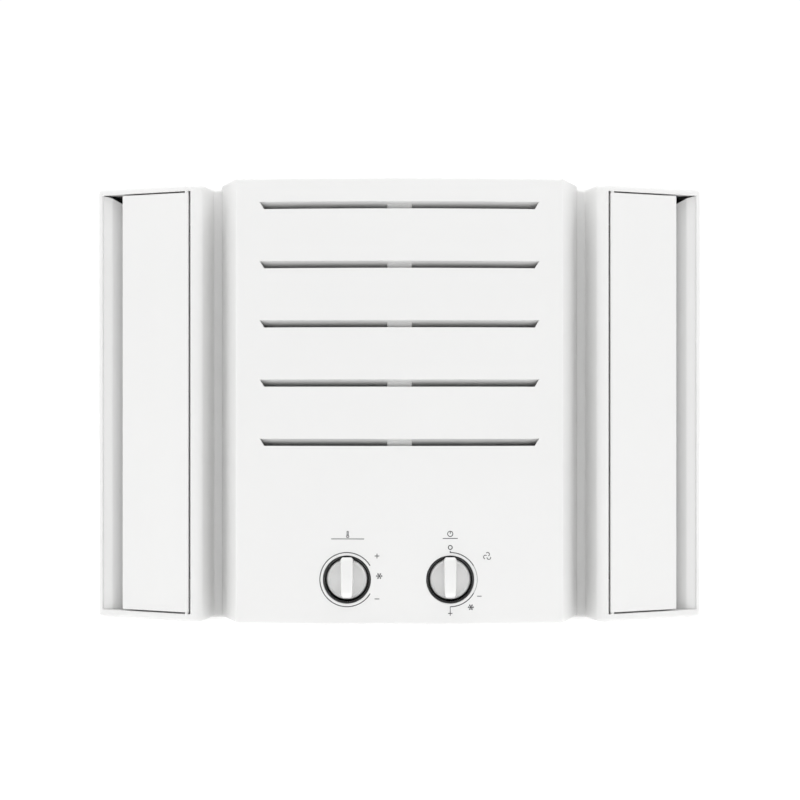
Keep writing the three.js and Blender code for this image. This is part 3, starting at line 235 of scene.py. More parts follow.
def turned(profile, place, sides=64):
    """A profile of (radius, height) turned about its height axis: each point goes round a full circle.
    A profile that ends on the axis is closed there by merging."""
    profile = np.asarray(profile, float)
    angle = np.linspace(0, 2 * math.pi, sides, endpoint=False)
    radius = profile[:, 0][:, None]
    rings = np.stack([radius * np.cos(angle), radius * np.sin(angle), np.repeat(profile[:, 1:], sides, 1)], 2)
    return place(rings.reshape(-1, 3)), grid_quads(len(profile), sides, closed=True).tolist()


def tube(path, radius, sides=12):
    """A circle carried along a path: at each point the ring stands square to the path, and the ends are capped."""
    path = np.asarray(path, float)
    tangent = np.gradient(path, axis=0)
    tangent /= np.linalg.norm(tangent, axis=1, keepdims=True)
    across = np.cross(tangent, [0.31, 0.17, 0.93])
    across /= np.linalg.norm(across, axis=1, keepdims=True)
    other = np.cross(tangent, across)
    angle = np.linspace(0, 2 * math.pi, sides, endpoint=False)
    rings = (path[:, None] + radius * (across[:, None] * np.cos(angle)[None, :, None]
                                       + other[:, None] * np.sin(angle)[None, :, None]))
    faces = grid_quads(len(path), sides, closed=True).tolist()
    faces.append(list(range(sides))[::-1])
    faces.append([(len(path) - 1) * sides + i for i in range(sides)])
    return rings.reshape(-1, 3), faces


def slab(low, high, edge=0.0004, steps=2):
    """A block between two corners whose upright and level edges are rounded by the same small radius."""
    low, high = np.minimum(low, high), np.maximum(low, high)
    edge = min(edge, 0.45 * (high - low).min())
    a, b = low[:2], high[:2]
    square = [[a[0], a[1]], [b[0], a[1]], [b[0], b[1]], [a[0], b[1]]]
    outline = rounded_loop(square, edge, steps)
    return carried(outline, quarter_levels(low[2], high[2], edge, steps), upright)


def rounded_loop(points, radius, steps=4):
    """A closed outline with every corner rounded by one radius, or by a radius of its own."""
    points = np.asarray(points, float)
    radii = np.broadcast_to(radius, len(points))
    wrapped = np.vstack([points[-1:], points, points[:1]])
    return rounded_path(wrapped, radii, steps)[1:-1]


def upright(points):
    """Outline seen from above, height along Z."""
    return points


def facing_room(points):
    """Outline seen from the room as (x, z), with its height along Y."""
    return points[:, [0, 2, 1]]


def several(shapes):
    """Joins lists of points and faces into one list of each."""
    points, faces, start = [], [], 0
    for shape_points, shape_faces in shapes:
        points.append(np.asarray(shape_points, float))
        faces.extend([[start + i for i in face] for face in shape_faces])
        start += len(shape_points)
    return np.concatenate(points), faces


def mirrored(shape):
    """The same surface on the other side of the middle plane, with its faces turned round."""
    points, faces = shape
    return np.asarray(points) * [-1, 1, 1], [face[::-1] for face in faces]


# ---------- making pieces ----------


def new_piece(name, shape, body, finish, slot, replaces=(), wall=0.0, bevel=0.0, outward=True):
    """Puts a surface into a mesh, thickens and rounds it, shades it and lets it ride on its body.
    wall is laid inwards from the drawn surface, and bevel rounds edges sharper than 40 degrees."""
    points, faces = shape
    mesh = bpy.data.meshes.new(name)
    mesh.from_pydata(np.asarray(points).tolist(), [], [list(face) for face in faces])
    tidy_mesh(mesh, outward)
    piece = bpy.data.objects.new(name, mesh)
    bpy.context.scene.collection.objects.link(piece)
    if wall:
        solid = piece.modifiers.new("Wall", "SOLIDIFY")
        solid.thickness = wall
        solid.offset = -1
        solid.use_even_offset = True
    if bevel:
        round_edges = piece.modifiers.new("Edge", "BEVEL")
        round_edges.width = bevel
        round_edges.segments = 2
        round_edges.limit_method = "ANGLE"
        round_edges.angle_limit = math.radians(40)
        round_edges.use_clamp_overlap = True
    weighted = piece.modifiers.new("Shading", "WEIGHTED_NORMAL")
    weighted.keep_sharp = True
    mesh.shade_smooth()
    mesh.set_sharp_from_angle(angle=math.radians(50))
    apply_modifiers(piece)
    piece.data.materials.clear()
    piece.data.materials.append(finish)
    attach(piece, body)
    if replaces:
        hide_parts(*replaces)
    return piece


def tidy_mesh(mesh, outward):
    """Merges doubled points, drops collapsed faces and points every face outwards."""
    shape = bmesh.new()
    shape.from_mesh(mesh)
    bmesh.ops.remove_doubles(shape, verts=shape.verts, dist=2e-6)
    bmesh.ops.dissolve_degenerate(shape, edges=shape.edges, dist=1e-7)
    if outward:
        bmesh.ops.recalc_face_normals(shape, faces=shape.faces)
    shape.to_mesh(mesh)
    shape.free()


def apply_modifiers(piece):
    bpy.context.view_layer.update()
    evaluated = piece.evaluated_get(bpy.context.evaluated_depsgraph_get())
    final = bpy.data.meshes.new_from_object(evaluated)
    rough = piece.data
    piece.modifiers.clear()
    piece.data = final
    bpy.data.meshes.remove(rough)
    final.name = piece.name


# ---------- finishes ----------


def shader_node(tree, kind, place, **settings):
    """A new node at a place in the tree, with its named inputs set."""
    node = tree.nodes.new(kind)
    node.location = place
    for key, value in settings.items():
        node.inputs[key].default_value = value
    return node


def mix_colours(tree, factor, first, second, place, blend="MIX"):
    """A colour mix whose factor is a socket and whose colours are sockets or plain triples."""
    node = tree.nodes.new("ShaderNodeMix")
    node.data_type = "RGBA"
    node.blend_type = blend
    node.location = place
    tree.links.new(factor, node.inputs[0])
    for socket, value in ((node.inputs[6], first), (node.inputs[7], second)):
        if isinstance(value, bpy.types.NodeSocket):
            tree.links.new(value, socket)
        else:
            socket.default_value = (*value, 1)
    return node.outputs[2]


def remapped(tree, source, old, new, place):
    node = tree.nodes.new("ShaderNodeMapRange")
    node.location = place
    tree.links.new(source, node.inputs["Value"])
    for name, value in zip(("From Min", "From Max", "To Min", "To Max"), (*old, *new)):
        node.inputs[name].default_value = value
    return node.outputs["Result"]


def scaled(colour, factor):
    return tuple(min(1.0, part * factor) for part in colour)


def procedural(name, colour, roughness, metallic=0.0, mottle=0.04, grain=900.0, bump=0.02, stretch=(1, 1, 1),
               scuff=0.12, coat=0.0, dust=(0.55, 0.53, 0.50), dust_amount=0.04):
    """A finish on object coordinates: a broad mottle in the colour, a fine grain in gloss and relief, thin scuffs
    and a trace of dust. stretch draws the grain out along an axis, as on rolled or brushed sheet."""
    material = bpy.data.materials.new("finish_" + name)
    material.use_nodes = True
    tree = material.node_tree
    tree.nodes.clear()
    output = shader_node(tree, "ShaderNodeOutputMaterial", (900, 0))
    shader = shader_node(tree, "ShaderNodeBsdfPrincipled", (600, 0))
    tree.links.new(shader.outputs["BSDF"], output.inputs["Surface"])
    place = shader_node(tree, "ShaderNodeTexCoord", (-1300, 0))
    mapping = shader_node(tree, "ShaderNodeMapping", (-1100, 0))
    mapping.inputs["Scale"].default_value = stretch
    tree.links.new(place.outputs["Object"], mapping.inputs["Vector"])
    broad = shader_node(tree, "ShaderNodeTexNoise", (-850, 250), Scale=9.0, Detail=4.0, Roughness=0.6)
    fine = shader_node(tree, "ShaderNodeTexNoise", (-850, 0), Scale=grain, Detail=3.0, Roughness=0.55)
    marks = shader_node(tree, "ShaderNodeTexNoise", (-850, -250), Scale=55.0, Detail=8.0, Roughness=0.72,
                        Distortion=1.6)
    for noise in (broad, fine, marks):
        tree.links.new(mapping.outputs["Vector"], noise.inputs["Vector"])
    shade = remapped(tree, broad.outputs[0], (0.3, 0.7), (0, 1), (-600, 250))
    scuffs = remapped(tree, marks.outputs[0], (0.62, 0.74), (0, 1), (-600, -250))
    settled = remapped(tree, marks.outputs[0], (0.30, 0.66), (dust_amount, 0), (-600, -450))
    body = mix_colours(tree, shade, scaled(colour, 1 - mottle), scaled(colour, 1 + mottle), (-350, 250))
    tinted = mix_colours(tree, settled, body, dust, (-100, 200))
    tree.links.new(tinted, shader.inputs["Base Color"])
    gloss = remapped(tree, fine.outputs[0], (0.25, 0.75), (roughness * 0.85, roughness * 1.15), (-350, -50))
    worn = tree.nodes.new("ShaderNodeMath")
    worn.operation = "MULTIPLY_ADD"
    worn.location = (-100, -100)
    worn.inputs[1].default_value = scuff
    tree.links.new(scuffs, worn.inputs[0])
    tree.links.new(gloss, worn.inputs[2])
    tree.links.new(worn.outputs[0], shader.inputs["Roughness"])
    relief = shader_node(tree, "ShaderNodeBump", (300, -300), Strength=bump, Distance=0.0004)
    tree.links.new(fine.outputs[0], relief.inputs["Height"])
    tree.links.new(relief.outputs["Normal"], shader.inputs["Normal"])
    shader.inputs["Metallic"].default_value = metallic
    if coat:
        shader.inputs["Coat Weight"].default_value = coat
        shader.inputs["Coat Roughness"].default_value = 0.12
    return material


def finishes():
    """Every finish by name, made once."""
    if "finish_panel_plastic" not in bpy.data.materials:
        make_finishes()
    return {material.name[7:]: material for material in bpy.data.materials if material.name.startswith("finish_")}


def make_finishes():
    tone = bpy.context.scene.unit_finishes
    procedural("white_plastic", tone.white, 0.38, mottle=0.006, grain=2600, bump=0.012, dust_amount=0.012)
    procedural("panel_plastic", tone.white, 0.42, mottle=0.006, grain=3000, bump=0.010, dust_amount=0.010)
    procedural("slot_plastic", scaled(tone.white, 0.9), 0.5, mottle=0.02, grain=2600, bump=0.012, dust_amount=0.03)
    procedural("knob_plastic", scaled(tone.white, 1.01), 0.33, mottle=0.005, grain=3600, bump=0.006,
               dust_amount=0.008)
    procedural("grey_plastic", tone.grey, 0.55, mottle=0.05, grain=1400, bump=0.04, dust_amount=0.10)
    procedural("black_plastic", tone.black, 0.22, mottle=0.10, grain=1800, bump=0.012, dust_amount=0.01, coat=0.5)
    procedural("dark_lining", (0.02, 0.02, 0.021), 0.6, mottle=0.1, grain=1400, bump=0.03, dust_amount=0.03)
    procedural("cabinet_paint", tone.paint, 0.42, mottle=0.012, grain=1300, bump=0.09, scuff=0.2, dust_amount=0.05)
    procedural("scale_ink", tone.ink, 0.5, mottle=0.08, grain=4000, bump=0.01, dust_amount=0.02)
    procedural("pale_ink", (0.42, 0.42, 0.42), 0.5, mottle=0.05, grain=4000, bump=0.01, dust_amount=0.02)
    procedural("galvanized", tone.zinc, 0.42, metallic=0.9, mottle=0.12, grain=240, bump=0.03, scuff=0.25,
               dust_amount=0.12)
    procedural("aluminium", tone.aluminium, 0.34, metallic=0.95, mottle=0.06, grain=700, bump=0.02,
               stretch=(1, 1, 0.1), dust_amount=0.10)
    procedural("copper", tone.copper, 0.28, metallic=1.0, mottle=0.16, grain=500, bump=0.02, scuff=0.2,
               dust=(0.30, 0.17, 0.10), dust_amount=0.25)
    procedural("black_enamel", tone.enamel, 0.35, mottle=0.12, grain=700, bump=0.05, scuff=0.2, dust_amount=0.06)
    procedural("bush_rubber", tone.rubber, 0.85, mottle=0.15, grain=1200, bump=0.08, dust_amount=0.12)
    procedural("motor_grey", tone.motor, 0.45, metallic=0.6, mottle=0.07, grain=800, bump=0.03, dust_amount=0.08)
    procedural("steel_rod", (0.50, 0.51, 0.52), 0.3, metallic=1.0, mottle=0.08, grain=900, bump=0.01,
               stretch=(1, 0.1, 1), dust_amount=0.05)


CARRIED_FINISHES = {
    "galvanized": ("control_box", "evaporator_left_end", "evaporator_right_end", "condenser_left_end",
                   "condenser_right_end", "bulkhead", "motor_bracket", "capacitor_clamp", "base_pan",
                   "left_cabinet_screw_1", "left_cabinet_screw_2", "right_cabinet_screw_1", "right_cabinet_screw_2",
                   "compressor_bolt_1", "compressor_bolt_2", "compressor_bolt_3", "fan_shroud"),
    "aluminium": ("evaporator_fins", "condenser_fins"),
    "copper": ("discharge_line", "suction_line", "liquid_line", "capillary_tube", "thermostat_bulb",
               "filter_drier"),
    "black_enamel": ("compressor", "accumulator"),
    "bush_rubber": ("compressor_grommet_1", "compressor_grommet_2", "compressor_grommet_3"),
    "motor_grey": ("fan_motor", "run_capacitor"),
    "steel_rod": ("fan_shaft",),
    "black_plastic": ("temperature_well", "mode_well", "thermostat", "mode_switch", "terminal_cover",
                      "cord_gland", "drain_spout"),
    "grey_plastic": ("air_filter", "drain_tray", "blower_housing", "inlet_ring", "blower_wheel", "condenser_fan"),
    "knob_plastic": ("temperature_knob", "mode_knob", "temperature_spindle", "mode_spindle"),
    "white_plastic": ("front_frame", "left_flap", "right_flap", "left_outlet_grille", "right_outlet_grille"),
    "panel_plastic": ("centre_panel",),
    "cabinet_paint": ("cabinet_sleeve", "rear_guard"),
}


def dress_frame():
    """Gives every node of the fixed frame its procedural finish."""
    materials = finishes()
    dressed = set()
    for finish, nodes in CARRIED_FINISHES.items():
        for node in nodes:
            mesh = frame["nodes"][node].data
            mesh.materials.clear()
            mesh.materials.append(materials[finish])
            mesh.set_sharp_from_angle(angle=math.radians(38))
            dressed.add(node)
    missing = set(frame["nodes"]) - dressed
    if missing:
        raise RuntimeError("no finish for " + ", ".join(sorted(missing)))


# ---------- moulded front ----------

VALLEY_END = 0.14755
VALLEY_DEPTH = 0.0603
SHOULDER = (0.15454, 0.02395)
OUTER_CORNER = (0.240, 0.06656)
OPENING_INNER = 0.16295
RECESS_OUTER = 0.2375
DEFLECTOR_SET = 0.0664
DEFLECTOR_BAND = 0.234
DEFLECTOR_EDGE = 0.230
DEFLECTOR_RADIUS = 0.005
DEFLECTOR_TILT = math.radians(24)
DEFLECTOR_FOOT = 0.2175
DEFLECTOR_GAP = 0.008
DEFLECTOR_FALL = 1.6
DEFLECTOR_ROWS = 25
WING_BACK = 0.1375
DEPTH = 0.140
OPENING_LOW = 0.0061
OPENING_HIGH = 0.3358
AIRWAY = (0.114, 0.074, 0.3218)
FILTER_SLOT = (0.1228, 0.0650, 0.0706)
OUTLET = (0.16755, 0.211, 0.030, 0.3118)
WING_SLOPE = math.atan2(OUTER_CORNER[1] - SHOULDER[1], OUTER_CORNER[0] - SHOULDER[0])


def wing_depth(x):
    """Depth of the wing's face at a distance x from the middle plane."""
    return SHOULDER[1] + (x - SHOULDER[0]) * math.tan(WING_SLOPE)


def shell_path(shoulder):
    """The front's outline seen from above, from its left back corner round the front to its right back corner."""
    outer_start = OUTER_CORNER[0] - 0.006 * math.tan((math.pi / 2 - WING_SLOPE) / 2) * math.cos(WING_SLOPE)
    points = [(0, VALLEY_DEPTH), (AIRWAY[0], VALLEY_DEPTH), (FILTER_SLOT[0], VALLEY_DEPTH),
              (VALLEY_END, VALLEY_DEPTH), SHOULDER, (OPENING_INNER, wing_depth(OPENING_INNER)),
              OUTER_CORNER, (OUTER_CORNER[0], DEPTH)]
    right = rounded_path(points, [0, 0, 0.002, shoulder, 0, 0.006], steps=7)
    left = right[:0:-1] * [-1, 1]
    return np.vstack([left, right]), outer_start


def into_frame(points):
    """Turns (x, depth, z) into the shared frame, where depth is counted from the panel's foremost line."""
    return np.asarray(points) + [0, FACE, 0]


def front_shell(sizes):
    """The outline seen from above carried from the bottom to the top, drawn in by a quarter circle at both ends,
    with the wing openings and the air way left out, and flat faces over its top and bottom. The top faces
    leave the slot for the filter."""
    path, outer_start = shell_path(sizes.shoulder)
    low, high = FRAME_LOW[2], FRAME_HIGH[2]
    ends = quarter_levels(low, high, sizes.edge, 5)
    middle = np.array([[OPENING_LOW, 0], [AIRWAY[1], 0], [AIRWAY[2], 0], [OPENING_HIGH, 0]])
    levels = np.vstack([ends[:6], middle, ends[6:]])
    inward = -path_normals(path)
    rings = path[None] + inward[None] * levels[:, 1][:, None, None]
    points = np.dstack([rings, np.repeat(levels[:, 0][:, None], len(path), 1)]).reshape(-1, 3)
    quads = grid_quads(len(levels), len(path))
    centre = points[quads].mean(1)
    width, height = np.abs(centre[:, 0]), centre[:, 2]
    wing = (width > OPENING_INNER) & (width < outer_start) & (height > OPENING_LOW) & (height < OPENING_HIGH)
    way = (width < AIRWAY[0]) & (height > AIRWAY[1]) & (height < AIRWAY[2])
    faces = quads[~(wing | way)].tolist()
    top = points[-len(path):]
    shell = several([(points, faces), cap_faces(top, True),
                     (points[:len(path)][::-1], [list(range(len(path)))])])
    return into_frame(shell[0]), shell[1]


def cap_faces(ring, upwards):
    """Flat faces over an outline, in four parts that meet round the filter's slot."""
    half, near, far = FILTER_SLOT
    z = ring[0, 2]
    left = int(np.argmin(np.hypot(ring[:, 0] + half, ring[:, 1] - ring[len(ring) // 2, 1])))
    right = int(np.argmin(np.hypot(ring[:, 0] - half, ring[:, 1] - ring[len(ring) // 2, 1])))
    extra = np.array([[-half, near, z], [half, near, z], [half, far, z], [-half, far, z],
                      [half, ring[-1, 1], z], [-half, ring[0, 1], z]])
    points = np.vstack([ring, extra])
    n = len(ring)
    faces = [list(range(left, right + 1)) + [n + 1, n],
             [n + 3, n + 2, n + 4, n + 5],
             list(range(right, n)) + [n + 4, n + 2, n + 1],
             list(range(left + 1)) + [n, n + 3, n + 5]]
    if not upwards:
        faces = [face[::-1] for face in faces]
    return points, faces


def deflector():
    """The wall beside each flap, seen from above: a flat band, an arc, a line that leans to the back at the arc's
    end angle and a line straight back. It is carried upwards to an edge that falls away from the rim with the
    1.6th power of the distance."""
    turn = np.linspace(0, DEFLECTOR_TILT, 9)
    middle = DEFLECTOR_SET + DEFLECTOR_RADIUS
    roll = np.stack([DEFLECTOR_EDGE - DEFLECTOR_RADIUS * np.sin(turn), middle - DEFLECTOR_RADIUS * np.cos(turn)], 1)
    foot_depth = roll[-1, 1] + (roll[-1, 0] - DEFLECTOR_FOOT) * math.tan(DEFLECTOR_TILT)
    path = np.vstack([[[RECESS_OUTER + 0.0008, DEFLECTOR_SET], [DEFLECTOR_BAND, DEFLECTOR_SET]], roll,
                      [[DEFLECTOR_FOOT, foot_depth], [DEFLECTOR_FOOT, WING_BACK + 0.0005]]])
    gone = np.clip((RECESS_OUTER - path[:, 0]) / (RECESS_OUTER - DEFLECTOR_FOOT), 0, 1)
    top = OPENING_HIGH - 0.0001 - DEFLECTOR_GAP * gone ** DEFLECTOR_FALL
    share = np.linspace(0, 1, DEFLECTOR_ROWS)[:, None]
    height = OPENING_LOW + (top[None] - OPENING_LOW) * share
    points = np.dstack([np.repeat(path[None], DEFLECTOR_ROWS, 0), height]).reshape(-1, 3)
    right = (points, grid_quads(DEFLECTOR_ROWS, len(path))[:, ::-1].tolist())
    points, faces = several([right, mirrored(right)])
    return into_frame(points), faces


def wing_lining(shoulder):
    """The inside of the moulded front: the back wall with its outlet windows, the ceiling and the floor."""
    x = np.array([DEFLECTOR_FOOT + 0.003, OUTLET[1], OUTLET[0], VALLEY_END])
    z = np.array([OPENING_LOW, OUTLET[2], OUTLET[3], OPENING_HIGH])
    points = np.stack([np.tile(x, 4), np.full(16, WING_BACK), np.repeat(z, 4)], 1)
    quads = grid_quads(4, 4)
    right = (points, np.delete(quads, 4, 0)[:, ::-1].tolist())
    outline, _ = shell_path(shoulder)
    inside = outline - path_normals(outline) * 0.0020
    ceiling = cap_faces(np.column_stack([inside, np.full(len(inside), OPENING_HIGH)]), False)
    floor = (np.column_stack([inside, np.full(len(inside), OPENING_LOW)]), [list(range(len(inside)))])
    points, faces = several([right, mirrored(right), ceiling, floor])
    return into_frame(points), faces


def back_rim():
    """Strips behind the moulded front: a flat rim outside the cabinet and the bands above and below its opening."""
    seat, high = SLEEVE_HIGH[0] + 0.0004, FRAME_HIGH[2] - 0.0005
    over, under = SLEEVE_HIGH[2] + 0.0004, SLEEVE_LOW[2] - 0.0004
    rim = FRAME_BACK - 0.0020
    side = slab([seat, rim, 0.0005], [0.2394, FRAME_BACK, high])
    top = slab([-seat, rim, over], [seat, FRAME_BACK, high])
    bottom = slab([-seat, rim, 0.0005], [seat, FRAME_BACK, under])
    band_back = FRAME_BACK - 0.0012
    upper = slab([-VALLEY_END, band_back - 0.0013, 0.3215], [VALLEY_END, band_back, 0.3365])
    lower = slab([-VALLEY_END, band_back - 0.0013, 0.0055], [VALLEY_END, band_back, 0.0225])
    return several([side, mirrored(side), top, bottom, upper, lower])


def filter_guides():
    """Two upright channels that hold the filter's edges, each an outline seen from above carried upwards."""
    inner = FILTER_HIGH[0] + 0.0008
    low, high = FILTER_LOW[2] - 0.004, OPENING_HIGH
    front, back = FILTER_LOW[1] - 0.0008, FILTER_HIGH[1] + 0.0008
    outline = [[inner - 0.005, front - 0.0022], [inner + 0.002, front - 0.0022], [inner + 0.002, back + 0.0016],
               [inner - 0.005, back + 0.0016], [inner - 0.005, back], [inner, back], [inner, front],
               [inner - 0.005, front]]
    right = carried(outline, [[low, 0], [high, 0]], upright)
    return several([right, mirrored(right)])


# ---------- centre panel ----------

PANEL_HALF = 0.12565
PANEL_BACK_HALF = 0.14095
PANEL_DEPTH = 0.060
WELL_WINDOW = 0.0240
RIB_HALF = 0.00955


def bow_depth(x, bow):
    """Depth of the bowed face: a parabola that falls back by bow at the panel's sides."""
    return bow * (x / PANEL_HALF) ** 2


def knob_places():
    """Middles of the two knobs, from the fixed frame."""
    places = []
    for node in ("temperature_well", "mode_well"):
        low, high = corners(node)
        places.append(((low[0] + high[0]) / 2, (low[2] + high[2]) / 2))
    return places


def slot_heights(sizes):
    top = PANEL_HIGH[2] - sizes.slot_below_top
    return [top - i * sizes.slot_pitch for i in range(sizes.slot_count)]


def filled(fixed, step):
    """Sorted positions that hold every fixed one, with the gaps between them divided evenly to at most a step."""
    fixed = sorted(set(np.round(fixed, 7)))
    parts = [np.linspace(a, b, max(2, int(math.ceil((b - a) / step)) + 1))[:-1] for a, b in zip(fixed, fixed[1:])]
    return np.concatenate(parts + [[fixed[-1]]])


def centre_panel(sizes):
    """The bowed outline seen from above carried upwards, rounded at both ends. The slots are left out, their
    ends drawn in from the upper edge to the lower, and each knob's hole is a ring that opens from a circle
    to the square window round it."""
    half_slot, half_height = sizes.slot_length / 2, sizes.slot_height / 2
    low_slot = half_slot - sizes.slot_slant
    knobs = knob_places()
    segments = 16
    window = np.linspace(-WELL_WINDOW, WELL_WINDOW, segments + 1)
    edge = PANEL_HALF - 0.004
    columns = [-edge, edge, -half_slot, half_slot, -RIB_HALF, RIB_HALF]
    columns = filled(columns + [x + w for x, _ in knobs for w in window], 0.008)
    bowed = np.stack([columns, bow_depth(columns, sizes.bow)], 1)
    side = [[PANEL_HALF, bow_depth(PANEL_HALF, sizes.bow)], [PANEL_BACK_HALF, PANEL_DEPTH]]
    left = [[-side[1][0], side[1][1]], [-side[0][0], side[0][1]]]
    radii = [sizes.panel_edge] + [0] * len(columns) + [sizes.panel_edge]
    path = rounded_path(np.vstack([left, bowed, side]), radii, 6)
    height = knobs[0][1]
    slots = slot_heights(sizes)
    rows = [z + s * half_height for z in slots for s in (-1, 1)] + [height + w for w in window]
    low, high = PANEL_LOW[2], PANEL_HIGH[2]
    rows = filled(rows + [low + 0.004, high - 0.004], 0.010)
    ends = quarter_levels(low, high, sizes.panel_edge, 5)
    levels = np.vstack([ends[:6], np.stack([rows, rows * 0], 1), ends[6:]])
    inward = -path_normals(path)
    rings = path[None] + inward[None] * levels[:, 1][:, None, None]
    points = np.dstack([rings, np.repeat(levels[:, 0][:, None], len(path), 1)])
    draw_in_slots(points, slots, half_slot, low_slot, half_height, sizes.bow)
    points = points.reshape(-1, 3)
    quads = grid_quads(len(levels), len(path))
    centre = points[quads].mean(1)
    left_out = np.zeros(len(quads), bool)
    for z in slots:
        left_out |= (np.abs(centre[:, 0]) < half_slot - 0.001) & (np.abs(centre[:, 2] - z) < half_height)
    for x, z in knobs:
        left_out |= (np.abs(centre[:, 0] - x) < WELL_WINDOW) & (np.abs(centre[:, 2] - z) < WELL_WINDOW)
    shapes = [(points, quads[~left_out].tolist())]
    hole = bpy.context.scene.unit_knobs.well / 2
    shapes += [well_ring(x, z, window, hole, sizes.bow) for x, z in knobs]
    count = len(path)
    shapes.append((points[-count:], [list(range(count))]))
    shapes.append((points[:count][::-1], [list(range(count))]))
    points, faces = several(shapes)
    return into_frame(points), faces


def draw_in_slots(points, slots, half_slot, low_slot, half_height, bow):
    """Moves the slot-end columns inwards along each slot's lower edge, keeping them on the bowed face."""
    at_end = np.isclose(np.abs(points[:, :, 0]), half_slot, atol=1e-6)
    for z in slots:
        lower = at_end & np.isclose(points[:, :, 2], z - half_height, atol=1e-6)
        x = np.sign(points[:, :, 0][lower]) * low_slot
        points[:, :, 0][lower] = x
        points[:, :, 1][lower] = bow_depth(x, bow)


def well_ring(x, z, window, radius, bow):
    """A patch of the bowed face between a square window and the circle of a knob's hole: straight spokes from
    each point of the square to the circle."""
    n = len(window) - 1
    w = WELL_WINDOW
    square = np.vstack([np.stack([window[:-1], np.full(n, -w)], 1), np.stack([np.full(n, w), window[:-1]], 1),
                        np.stack([window[:0:-1], np.full(n, w)], 1), np.stack([np.full(n, -w), window[:0:-1]], 1)])
    circle = square / np.linalg.norm(square, axis=1, keepdims=True) * radius
    share = np.array([0.0, 0.55, 0.85, 1.0])[:, None, None]
    rings = square[None] * (1 - share) + circle[None] * share + [x, z]
    points = np.dstack([rings[:, :, 0], bow_depth(rings[:, :, 0], bow), rings[:, :, 1]]).reshape(-1, 3)
    return points, grid_quads(len(rings), len(square), closed=True).tolist()


def slot_lips(sizes):
    """Behind each slot a lip leans down and back, an outline seen from the side carried along the slot, and an
    upright rib crosses them all in the middle."""
    shapes = []
    half, drop, length = sizes.slot_length / 2 + 0.002, math.radians(38), 0.013
    run, fall = length * math.cos(drop), length * math.sin(drop)
    stations = np.linspace(-half, half, 41)
    back = bow_depth(stations, sizes.bow)
    for z in slot_heights(sizes):
        top = z + sizes.slot_height / 2 + 0.0014
        section = np.array([[0.0015, top], [0.0015, top - 0.0012], [0.003 + run, top - 0.0012 - fall],
                            [0.003 + run, top - fall]])
        outline = rounded_loop(section, 0.0004, 2)
        points = np.dstack([np.repeat(stations[:, None], len(outline), 1), outline[None, :, 0] + back[:, None],
                            np.repeat(outline[None, :, 1], len(stations), 0)]).reshape(-1, 3)
        faces = grid_quads(len(stations), len(outline), closed=True).tolist()
        last = (len(stations) - 1) * len(outline)
        faces += [list(range(len(outline))), [last + i for i in range(len(outline))][::-1]]
        shapes.append((points, faces))
    low, high = slot_heights(sizes)[-1] - 0.012, slot_heights(sizes)[0] + 0.012
    shapes.append(slab([-RIB_HALF, 0.0045, low], [RIB_HALF, 0.0078, high], 0.0008))
    points, faces = several(shapes)
    return into_frame(points), faces


# ---------- flaps ----------


def flap(sign):
    """A thin board drawn flat from its hinge edge and turned to the wing's slope: its outline seen from the room
    has small rounded corners and its front edges are a quarter circle. A lip and three ribs stand behind it,
    and a pin stands out at each end of the hinge."""
    low, high = FLAP_LOW[2] + 0.0042, FLAP_HIGH[2] - 0.0042
    inner, outer = 0.1647, 0.2197
    width = (outer - inner) / math.cos(WING_SLOPE)
    thick = 0.0026
    board = rounded_loop([[0, low], [width, low], [width, high], [0, high]], 0.0010, 3)
    quarter = quarter_levels(0, thick, 0.0007, 3)
    shapes = [carried(board, quarter, facing_room),
              slab([width - 0.002, 0.0005, low + 0.004], [width, 0.006, high - 0.004], 0.0005)]
    for share in (0.25, 0.5, 0.75):
        z = low + (high - low) * share
        shapes.append(slab([0.005, 0.0005, z - 0.001], [width - 0.001, 0.005, z + 0.001], 0.0004))
    for z0, z1 in ((FLAP_LOW[2], low + 0.001), (high - 0.001, FLAP_HIGH[2])):
        shapes.append(turned([[0, z0], [0.0011, z0], [0.0014, z0 + 0.0004], [0.0014, z1], [0, z1]],
                             lambda p: p + [0.0019, 0.0013, 0], 20))
    points, faces = several(shapes)
    along, into = math.cos(WING_SLOPE), math.sin(WING_SLOPE)
    x = inner + points[:, 0] * along - points[:, 1] * into
    depth = wing_depth(inner) + points[:, 0] * into + points[:, 1] * along
    points = into_frame(np.stack([x, depth, points[:, 2]], 1))
    return (points, faces) if sign > 0 else mirrored((points, faces))


# ---------- knobs and scales ----------


def about_knob(x, z):
    """Places a turned profile of (radius, depth) on a knob's axis, which runs straight back from the face."""
    def place(points):
        return into_frame(np.stack([x + points[:, 0], points[:, 2], z + points[:, 1]], 1))
    return place


def knob_skirt(x, z, radius):
    """A profile turned about the knob's axis: a flat back, a straight side, a rounded rim and a shallow dish."""
    back, rim = 0.01019, 0.00519
    turn = np.linspace(0, math.pi, 9)
    bead = np.stack([radius - 0.0009 + 0.0009 * np.cos(turn), rim + 0.0010 * (1 - np.sin(turn))], 1)
    share = np.linspace(0, 1, 8)[1:]
    dish = np.stack([(radius - 0.0018) * (1 - share), rim + 0.0010 + 0.0005 * np.sin(share * math.pi / 2)], 1)
    profile = np.vstack([[[0, back], [radius - 0.0004, back], [radius, back - 0.0004]], bead, dish])
    return turned(profile, about_knob(x, z), 96)


